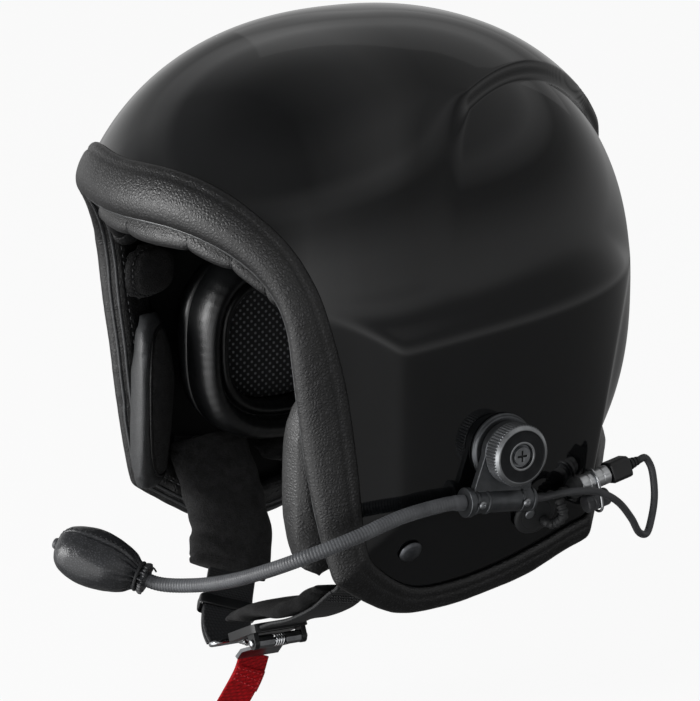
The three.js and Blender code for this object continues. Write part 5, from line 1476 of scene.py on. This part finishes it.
barrel_profile = [
    (16.3, 0), (16.3, 2.6), (16.9, 3.3), (19.6, 3.4), (20.1, 3.0), (20.4, 3.4), (20.6, 4.4), (24.0, 4.4),
    (24.3, 3.5), (24.8, 3.0), (25.3, 3.3), (27.6, 3.2), (29.0, 2.6), (30.6, 2.5), (30.6, 0),
]
barrel = turned("hook_barrel", barrel_profile, BUCKLE, HOOK_ROWS, chrome, sides=104, ease=0.35, ripple=knurl)
dress(barrel, "right_strap_body", ["strap_hook"])
RING_CENTRE, w, l = BUCKLE + AHEAD * 33, 14.2, 3.6
half_ring = [(-l, -w * 0.82), (-l, 0), (-l, w * 0.82), (-l * 0.7, w), (l * 0.7, w)]
outline = spline([(x * s, y * s, 0) for s in (1, -1) for x, y in half_ring], 14, closed=True)
ring_line = RING_CENTRE + AHEAD * outline[:, :1] + ACROSS * outline[:, 1:2]
dress(tube("hook_wire_ring", ring_line, 1.25, chrome, sides=14, closed=True), "right_strap_body")
RED = [(5.827, -64.816, -173.169), (5.227, -68.216, -183.069), (4.027, -75.016, -195.609),
       (2.827, -81.816, -206.169)]
RED_ACROSS, RED_STITCH = vec(0.2, 0.97, -0.1), (1.6, 1.5, 0.3)
BOX_ROWS, BOX_HALF, ON_FOLD = (0.24, 0.33, 0.42), 6.2, 2.15
red, *red_frames = ribbon("red_pull_tab", RED, 15.5, 1.8, red_webbing, RED_ACROSS, wave=0.5)
dress(red, "pull_tab_body", ["pull_tab"])
fold, *_ = ribbon("red_pull_tab_fold", RED, 15.3, 1.3, red_webbing, RED_ACROSS, wave=0.15, count=60,
                  part=(0.2, 0.46), lift=1.5)
dress(fold, "pull_tab_body")
bar_tack("red_tack", red_frames, "pull_tab_body", BOX_ROWS, BOX_HALF, ON_FOLD, RED_STITCH, red_thread)
first, last = (int(at * (len(red_frames[0]) - 1)) for at in BOX_ROWS[::2])
line, above, across = [a[first:last] for a in red_frames]
for j, side in enumerate((-BOX_HALF, BOX_HALF)):
    row = line + across * side + above * ON_FOLD
    dress(stitches(f"red_side_tack_{j + 1}", row, above, *RED_STITCH, red_thread), "pull_tab_body")

# %% [markdown]
# The anchors are domed steel rivets. A washer on the inside spreads the strap's pull.

# %% Anchors
LOW_ROWS = frame_from((0.899, 0, -0.438))
ANCHOR = vec(105.862, -37.6, -98.596)
rivet_profile = [(-9.2, 0), (-9.2, 2.6), (-8.4, 3.1), (-8.0, 2.2), (0.3, 2.2), (0.3, 5.6), (0.7, 6.0),
                 (1.3, 6.0), (2.4, 4.7), (3.1, 2.8), (3.5, 0.9), (3.5, 0)]
washer_profile = [(-7.6, 2.5), (-7.6, 4.7), (-7.8, 4.9), (-8.6, 4.9), (-8.75, 4.7), (-8.75, 2.5), (-7.6, 2.5)]
rivet = turned("left_domed_rivet", rivet_profile, ANCHOR, LOW_ROWS, dark_steel, sides=64, ease=0.5)
both_sides(rivet, "helmet", "strap_anchor")
washer = turned("left_rivet_washer", washer_profile, ANCHOR, LOW_ROWS, zinc, sides=48, ease=0.15)
both_sides(washer, "helmet", "strap_washer")

# %% [markdown]
# ## The boom
# On the left pod the microphone's arm turns on a stack of parts: a ring on the shell, a rubber friction
# washer, the bracket's eye and a knurled knob that clamps them. They share one axis, straight out of
# the shell's side, so each is a profile spun about it.

# %% Swivel stack
SWIVEL = vec(115.011, 7.3, -52.3)
X_ROWS = np.eye(3)


def spun(name, profile, origin, rows, finish, sides, ease, body, node=None):
    """A turned piece, dressed in one go."""
    return dress(turned(name, profile, origin, rows, finish, sides, ease), body, [node] if node else ())


ring_profile = [(0.3, 3.5), (0.3, 17.0), (1.6, 17.0), (2.0, 16.4), (3.1, 15.9), (3.3, 15.4), (3.3, 12.4),
                (2.9, 12.0), (3.3, 11.6), (3.3, 3.5), (0.3, 3.5)]
spun("swivel_ring", ring_profile, SWIVEL, X_ROWS, anodised, 120, 0.35, "helmet", "swivel_base")
washer_profile = [(3.6, 3.4), (3.6, 13.3), (3.9, 13.5), (4.5, 13.5), (4.8, 13.3), (4.8, 3.4), (3.6, 3.4)]
spun("rubber_friction_washer", washer_profile, SWIVEL, X_ROWS, black_rubber, 96, 0.2,
     "boom_arm", "friction_washer")


def knob_grip(x, r, turn):
    on_rim = (r > 14.0) * smooth(9.6, 10.2, x) * (1 - smooth(17.2, 17.8, x))
    return 0.34 * on_rim * flattened(np.sin(60 * turn), 0.5)


def out_from_swivel(piece):
    """For each face, how far along the swivel's axis it lies and how far from it."""
    mids = middles_of_faces(piece) - SWIVEL
    return mids[:, 0], np.linalg.norm(mids[:, 1:], axis=1)


def finish_by_face(piece, index, *finishes):
    for one in finishes:
        piece.data.materials.append(one)
    piece.data.polygons.foreach_set("material_index", index.astype(np.int32))


knob_profile = [
    (9.4, 3.4), (9.4, 14.4), (9.9, 14.75), (10.6, 14.75), (11.8, 14.75), (13.2, 14.75), (14.6, 14.75),
    (16.0, 14.75), (17.4, 14.75), (17.9, 14.5), (19.0, 13.2), (19.0, 12.4), (18.75, 12.1), (18.75, 7.2),
    (19.0, 6.9), (19.0, 6.1), (18.6, 5.7), (16.9, 5.6), (16.85, 3.5), (9.4, 3.4),
]
knob = turned("knurled_clamp_knob", knob_profile, SWIVEL, X_ROWS, black_anodised, sides=360, ease=0.22,
              ripple=knob_grip)
along, far = out_from_swivel(knob)
bare = ((along > 17.95) & (far > 12.6)) | ((along > 18.78) & (far > 5.9) & (far < 7.0))
finish_by_face(knob, np.where(bare, 1, np.where(along < 17.95, 2, 0)), bare_edge, knob_rim)
dress(knob, "boom_knob_body", ["boom_knob"])
knob_screw = softened("knob_screw", "cross_head_knob_screw", zinc, 0.12, "boom_knob_body",
                      segments=2)
# The cross recess is given the black rubber finish: painted shade, as the screw is zinc all through.
along, far = out_from_swivel(knob_screw)
painted_shade_recess = (far < 0.7 * far.max()) & (along < along.max() - 0.25) & (along > along.min() + 0.1)
finish_by_face(knob_screw, painted_shade_recess, black_rubber)
refinish(zinc, "swivel_post")

# %% [markdown]
# The bracket carries a clamp tube, with two small screws on its outer side. Four thin bands run round the
# tube, two near each end.

# %% Bracket and clamp
softened("boom_bracket", "boom_bracket_plate", anodised, 0.7, "boom_arm", angle=40)
CLAMP_AXIS = unit(vec(0, -0.995, 0.096))
CLAMP = SWIVEL + vec(7.1, -6, -23.5)
CLAMP_ROWS = frame_from(CLAMP_AXIS)
SCREW_FROM_MIDDLE, SCREW_SEAT = 12.6, vec(5.9, 0, 0)
screw_profile = [(0, 0), (0, 2.0), (0.5, 2.05), (0.95, 1.9), (1.5, 1.1), (1.5, 0.75), (0.9, 0.7), (0.9, 0)]
for k, side in enumerate((-1, 1)):
    seat = CLAMP + CLAMP_AXIS * side * SCREW_FROM_MIDDLE + SCREW_SEAT
    spun(f"clamp_screw_head_{k + 1}", screw_profile, seat, X_ROWS, zinc, 40, 0.2,
         "boom_arm", f"clamp_screw_{k + 1}")
band_profile = [(-0.9, 5.2), (-0.9, 5.75), (-0.5, 6.05), (0.5, 6.05), (0.9, 5.75), (0.9, 5.2), (-0.9, 5.2)]
for k, at in enumerate((-18.2, -12.0, 7.6, 13.6)):
    spun(f"clamp_band_{k + 1}", [(at + x, r) for x, r in band_profile], CLAMP, CLAMP_ROWS, anodised, 64, 0.15,
         "boom_arm")

# %% [markdown]
# The gooseneck is a steel spring wound tight under a thin vinyl skin, so each turn shows as a faint
# rib, 1.5 mm apart. It bends between the bracket and the microphone, and so does this piece.

# %% Gooseneck
MIC, RIB_PITCH = vec(29.486, -143.811, -113.483), 1.5
NECK_ROUTE = [
    (122.111, -17.911, -73.95), (122.111, -24.879, -73.279), (121.997, -33.007, -73.598),
    (121.997, -52.999, -75.902), (120.499, -77.009, -82.499), (112.001, -97.505, -90.506),
    (94.992, -109.503, -99.999), (72.997, -117.511, -109.504), (52.991, -126.009, -115.51),
    (37.997, -136.005, -117.008), MIC,
]
neck_line = evenly(spline(NECK_ROUTE), 1000)
run = np.linspace(0, length_of(neck_line), 1000)
to_go = run[-1] - run
ribs = 0.2 * (np.abs(np.cos(math.pi * run / RIB_PITCH)) - 0.6) * smooth(6, 9, run) * smooth(4, 7, to_go)
radius = 3.4 + ribs + 0.35 * (1 - smooth(4.5, 6.5, run)) + 0.3 * (1 - smooth(3, 5, to_go))
radius[0], radius[-1] = 2.6, 2.6
gooseneck = tube("wound_gooseneck", neck_line, radius, neck_cover, sides=20)
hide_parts("gooseneck")
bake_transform(gooseneck)

# %% [markdown]
# The muff is a little sock of nappa leather, sewn up one side, pulled over the capsule and gathered
# round the gooseneck by a drawcord. The gathers are deep at the cuff and fade out over 20 mm. Long soft
# folds cross the sock where the seam pulls it.

# %% Microphone muff
MIC_ROWS = frame_from((-0.705, -0.646, 0.292))
SEAM_TURN, CORD_AT = math.pi / 2 - 0.35, -2.2
muff_profile = [(-4.5, 4.25), (-5.6, 5.6), (-6.4, 7.2), (-4.8, 7.0), (-3.0, 5.9), (-1.9, 5.7), (-0.4, 6.6),
                (2.2, 9.4), (6.5, 11.8), (12.0, 13.6), (19.0, 14.3), (26.0, 14.2), (32.0, 13.2), (36.4, 11.2),
                (39.0, 8.2), (40.5, 4.4), (40.9, 0.3)]
lining_profile = [(38.6, 0.4), (37, 5), (31, 10.8), (22, 12.4), (12, 11.8), (2, 7.5), (-1.0, 4.1),
                  (-4.3, 4.1)]
shape = evenly(np.array([(x, r, 0) for x, r in eased(muff_profile, 2.5, steps=5)]), 150)
turn = circle(180)
pulls = np.random.default_rng(21).uniform(0, 6.3, 4)
gather = sum(a * np.sin(n * turn + p) for n, a, p in zip((13, 17, 22, 9), (1, 0.8, 0.6, 0.5), pulls)) / 1.6
seam = (0.75 * np.exp(-((turn - SEAM_TURN) / 0.05) ** 2)
        - 0.55 * np.exp(-((turn - SEAM_TURN + 0.11) / 0.035) ** 2))
rings = []
for k, (x, r, _) in enumerate(shape):
    tight = math.exp(-max(x + 1.5, 0) / 4.6) * min(1, k / 12)
    soft_folds = sum(0.2 * math.sin(x / w + q) * np.sin(m * turn + q * 2)
                     for w, q, m in ((4.5, 0.4, 2), (6.2, 2.1, 3), (3.7, 4.4, 4)))
    radial = (r + gather * (0.8 * tight + 0.16 * smooth(35, 40, x)) * min(1, r / 6)
              + soft_folds * smooth(2, 10, x) * min(1, r / 8) + seam * smooth(0, 4, x) * min(1, r / 9))
    rings.append(ring_at(x, radial * np.cos(turn), radial * 0.97 * np.sin(turn)))
lining = [ring_at(x, r * np.cos(turn), r * np.sin(turn)) for x, r in lining_profile]
muff = skin("gathered_leather_muff", placed(np.array(lining + rings), MIC, MIC_ROWS), muff_leather)
dress(muff, "microphone", ["mic_muff"])
sewn, beside_seam = slice(46, 142), int((SEAM_TURN + 0.07) / (2 * math.pi) * 180)
seam_line = placed(np.array(rings), MIC, MIC_ROWS)[sewn, beside_seam]
seam_out = unit(seam_line - MIC - np.outer(shape[sewn, 0], MIC_ROWS[0]))
dress(stitches("muff_seam_stitches", seam_line, seam_out, 2.4, 1.7, 0.28), "microphone")
refinish(black_plastic, "mic_capsule")

# %% [markdown]
# The drawcord runs round the cuff into a small lock barrel below it, and its two ends hang out limp. A
# grey button closes the far end of the sock.

# %% Drawcord, lock and end button
around = circle(90)
cord_ring = placed(ring_at(CORD_AT, 6.75 * np.cos(around), 6.75 * np.sin(around)), MIC, MIC_ROWS)
dress(tube("muff_drawcord", cord_ring, 0.85, braided_cord, sides=10, closed=True),
      "microphone", ["mic_drawcord"])
LOCK = MIC + MIC_ROWS[0] * CORD_AT - MIC_ROWS[1] * 7.4
LOCK_ROWS = np.stack([-MIC_ROWS[1], MIC_ROWS[0], MIC_ROWS[2]])
lock_profile = [(0, 0), (0, 1.9), (0.6, 2.6), (4.4, 2.6), (4.9, 2.2), (5.4, 2.6), (6.6, 2.5), (7.0, 1.6),
                (7.0, 0)]
spun("cord_lock_barrel", lock_profile, LOCK, LOCK_ROWS, black_plastic, 40, 0.3, "microphone")
for k, sway in enumerate((0.8, -0.7)):
    free_end = spline([LOCK + LOCK_ROWS[0] * out + LOCK_ROWS[1] * sway * bend - vec(0, 0, drop)
                       for out, bend, drop in ((6.6, 0, 0), (8.6, 1, 0), (10.4, 2.2, 1.0), (11.4, 3.2, 2.6))])
    dress(tube(f"drawcord_end_{k + 1}", free_end, 0.45, braided_cord, sides=8), "microphone")
button_profile = [(40.4, 0), (40.4, 2.6), (41.2, 2.9), (42.4, 2.4), (42.9, 1.4), (42.9, 0)]
spun("muff_end_button", button_profile, MIC, MIC_ROWS, grey_plastic, 40, 0.4, "microphone")

# %% [markdown]
# ## Leads behind the boom
# A rubber patch seals the hole where the headset's wires leave the shell. A short ribbed lead runs from
# it to the socket.

# %% Patch and socket lead
PATCH_ROWS = frame_from((0.938, 0.017, -0.346))
PATCH = vec(110.735, 29, -88)
patch_profile = [(0.9, 0), (0.9, 11.2), (1.3, 11.5), (2.3, 11.5), (3.1, 10.9), (3.5, 10.2), (3.5, 8.6),
                 (3.2, 8.2), (3.5, 7.8), (3.5, 0)]
spun("rubber_lead_patch", patch_profile, PATCH, PATCH_ROWS, black_rubber, 96, 0.3, "helmet", "lead_patch")
softened("patch_screw", "patch_screw_head", zinc, 0.25, "helmet", segments=2)
SOCKET = [(113.184, 33.555, -92.116), (115.623, 33.599, -93.016), (117.455, 36.233, -93.7),
          (121.926, 38.895, -88.963), (119.004, 38.13, -79.19), (119.004, 43.207, -78.065)]
socket_line = evenly(spline(SOCKET), 260)
run = np.linspace(0, length_of(socket_line), 260)
rib = flattened(np.cos(2 * math.pi * run / 2.6), 0.5)
radius = 2.35 + 0.28 * rib * smooth(2, 4, run) * smooth(2, 4, run[-1] - run)
dress(tube("ribbed_socket_lead", socket_line, radius, black_rubber, sides=20), "helmet", ["socket_lead"])

# %% [markdown]
# The boom's plug is pushed into the socket from behind, and a ribbed relief guards its lead. A spare
# connector hangs below on a bent wire clip.

# %% Plug and spare connector
PLUG = vec(119.004, 43.5, -78)
PLUG_ROWS = frame_from((0, 0.9763, 0.2164))
boot_profile = [(0, 0), (0, 3.2), (0.6, 3.5), (2.2, 4.6), (2.8, 5.0), (5.4, 5.0), (6.0, 4.7), (6.0, 0)]
spun("socket_rubber_boot", boot_profile, PLUG, PLUG_ROWS, black_rubber, 56, 0.4, "helmet", "socket_boot")
sleeve_profile = [(6.3, 0), (6.3, 4.2), (6.8, 4.6), (10.4, 4.6), (10.6, 4.35), (11.0, 4.35), (11.2, 4.6),
                  (18.6, 4.6), (18.8, 4.35), (19.2, 4.35), (19.4, 4.6), (22.8, 4.6), (23.3, 4.2), (23.3, 0)]
spun("nickel_plug_sleeve", sleeve_profile, PLUG, PLUG_ROWS, nickel, 80, 0.2, "helmet", "plug_sleeve")
softened("plug_body", "moulded_plug_body", black_plastic, 0.7, "helmet")
relief_profile = [(34.9, 0), (34.9, 3.4)]
for k in range(3):
    x, r = 34.9 + 2 * (k + 0.45), 3.35 - 0.4 * (k + 0.45)
    relief_profile += [(x, r), (x + 0.12, r - 0.65), (x + 0.75, r - 0.75), (x + 0.87, r - 0.1)]
relief_profile += [(41.9, 1.95), (41.9, 0)]
spun("ribbed_strain_relief", relief_profile, PLUG, PLUG_ROWS, black_rubber, 48, 0.12, "helmet", "plug_relief")
SPARE_BELOW = 10.6
spare_profile = [(7.8, 0), (7.8, 3.9), (8.3, 4.4), (11.2, 4.4), (11.5, 4.0), (12.0, 4.0), (12.3, 4.4),
                 (20.2, 4.4), (20.8, 4.1), (20.8, 0)]
spare_at = PLUG - PLUG_ROWS[2] * SPARE_BELOW
spun("spare_lower_connector", spare_profile, spare_at, PLUG_ROWS, grey_plastic, 64, 0.25,
     "helmet", "spare_connector")
around = circle(20)
lower_half = np.where(np.sin(around) < -1e-9, SPARE_BELOW, 0)
clip = placed(ring_at(14.3, 5.6 * np.cos(around), 5.6 * np.sin(around) - lower_half), PLUG, PLUG_ROWS)
clip_line = evenly(spline(clip, 16, closed=True), 260, closed=True)
dress(tube("bent_wire_clip", clip_line, 0.7, chrome, sides=12, closed=True), "helmet", ["wire_clip"])

# %% [markdown]
# ## Floor and light
# The helmet is shown over a plain white floor. The floor's white comes from its own colour, lifted a
# little for the camera alone, so the shadow stays and no extra light falls on the helmet.

# %% Floor
low_corner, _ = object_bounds()
FLOOR_HALF = 30.0
floor_mesh = bpy.data.meshes.new("floor")
floor_mesh.from_pydata([(x * FLOOR_HALF, y * FLOOR_HALF, 0) for x, y in ((-1, -1), (1, -1), (1, 1), (-1, 1))],
                       [], [(0, 1, 2, 3)])
floor = in_scene("floor", floor_mesh)
floor.location.z = low_corner.z - 0.5 * MM
paper, tree, shader = finish_named("white_paper", Base_Color=linear("#dcdcdc"), Roughness=0.9)
rays = add_node(tree, "ShaderNodeLightPath").outputs
glow = add_node(tree, "ShaderNodeEmission", {"Color": (1, 1, 1, 1), "Strength": 1.0})
clear = add_node(tree, "ShaderNodeBsdfTransparent")
unseen_in_gloss = add_node(tree, "ShaderNodeMixShader",
                           {0: rays["Is Glossy Ray"], 1: shader.outputs[0], 2: clear.outputs[0]})
share = times(tree, rays["Is Camera Ray"], 0.93)
blend_in = add_node(tree, "ShaderNodeMixShader", {0: share, 1: unseen_in_gloss.outputs[0],
                                                  2: glow.outputs[0]})
tree.links.new(blend_in.outputs[0], tree.nodes["Material Output"].inputs["Surface"])
floor_mesh.materials.append(paper)
print("floor at", round(floor.location.z, 4), "m")

# %% [markdown]
# Gloss black shows only what it mirrors, so the room matters more than the lamps. The room is brighter
# at eye level than above and below it, as in a studio with white walls, and brighter on the side that
# faces the front pod, with a pale ceiling behind. Each facet of the shell then mirrors its own tone, and
# each crease, which turns through the bright band, shows as a thin pale line. The white table in front
# is mirrored in the leather that faces it. A large dim panel adds the broad field on the roof, and a low
# one in front brings out the leather. The key and the rear panel light the helmet without showing in it.

# %% Lights
def softbox(name, at, towards, width, height, power, mirrored=True):
    lamp = bpy.data.lights.new(name, "AREA")
    lamp.shape = "RECTANGLE"
    lamp.size, lamp.size_y = width, height
    lamp.energy = power
    made = in_scene(name, lamp)
    made.location = at
    made.rotation_euler = (Vector(towards) - Vector(at)).to_track_quat("-Z", "Y").to_euler()
    made.visible_glossy = mirrored


softbox("top_rear_panel", (-1.55, 1.55, 1.6), (0, 0, 0.05), 2.5, 2.0, 2.0)
softbox("low_front_panel", (-0.6, -2.3, 0.4), (0, 0, -0.05), 1.6, 0.8, 44)
softbox("key_panel", (1.2, -1.9, 2.1), (0, 0, 0), 0.8, 0.8, 26, mirrored=False)
softbox("rear_side_panel", (1.9, 1.7, 0.5), (0, 0, -0.05), 0.9, 0.9, 5, mirrored=False)


def tones(tree, value, stops):
    """A ramp from a direction's share, -1 to 1, to a brightness."""
    spread = add_node(tree, "ShaderNodeMapRange", {"Value": value, "From Min": -1.0, "From Max": 1.0})
    ramp = add_node(tree, "ShaderNodeValToRGB", {"Fac": spread.outputs["Result"]})
    while len(ramp.color_ramp.elements) < len(stops):
        ramp.color_ramp.elements.new(0.5)
    for knot, (at, level) in zip(ramp.color_ramp.elements, stops):
        knot.position = (at + 1) / 2
        knot.color = (level, level, level, 1)
    return ramp.outputs["Color"]


world = bpy.data.worlds.new("studio")
bpy.context.scene.world = world
world.use_nodes = True
tree = world.node_tree
direction = add_node(tree, "ShaderNodeTexCoord").outputs["Generated"]
_, sideways, upward = add_node(tree, "ShaderNodeSeparateXYZ", {0: direction}).outputs


def lit_from(side_stops, height_stops):
    return times(tree, tones(tree, sideways, side_stops), tones(tree, upward, height_stops))


room = lit_from([(-1, 0.4), (-0.6, 0.5), (-0.25, 1.0), (0.1, 0.65), (0.45, 0.48), (1, 0.42)],
                [(-1, 0.08), (-0.6, 0.12), (-0.3, 0.2), (-0.18, 0.24), (-0.02, 0.6), (0.12, 0.52),
                 (0.32, 0.27), (0.45, 0.22), (0.62, 0.0)])
ceiling = lit_from([(-1, 0.5), (-0.2, 0.4), (0.25, 1), (0.36, 1), (0.5, 0.62), (0.8, 0.8)],
                   [(0.4, 0), (0.54, 0.56), (0.78, 0.56), (0.95, 0.4)])
table_front = lit_from([(-1, 1), (-0.72, 1), (-0.48, 0)],
                       [(-1, 0.3), (-0.6, 0.7), (-0.25, 1), (0.02, 1), (0.14, 0)])
mirrored = weighed(tree, (room, 2.0), (ceiling, 1), (table_front, 2.2))
rays = add_node(tree, "ShaderNodeLightPath").outputs
gloss = maths(tree, "MAXIMUM", rays["Is Glossy Ray"], rays["Is Transmission Ray"])
pale = maths(tree, "MAXIMUM", rays["Is Camera Ray"], times(tree, gloss, mirrored))
plain = times(tree, maths(tree, "SUBTRACT", 1.0, gloss), 0.22)
tree.links.new(maths(tree, "MAXIMUM", pale, plain), tree.nodes["Background"].inputs["Strength"])
tree.nodes["Background"].inputs["Color"].default_value = (1, 1, 1, 1)
bpy.context.scene.view_settings.view_transform = "Standard"
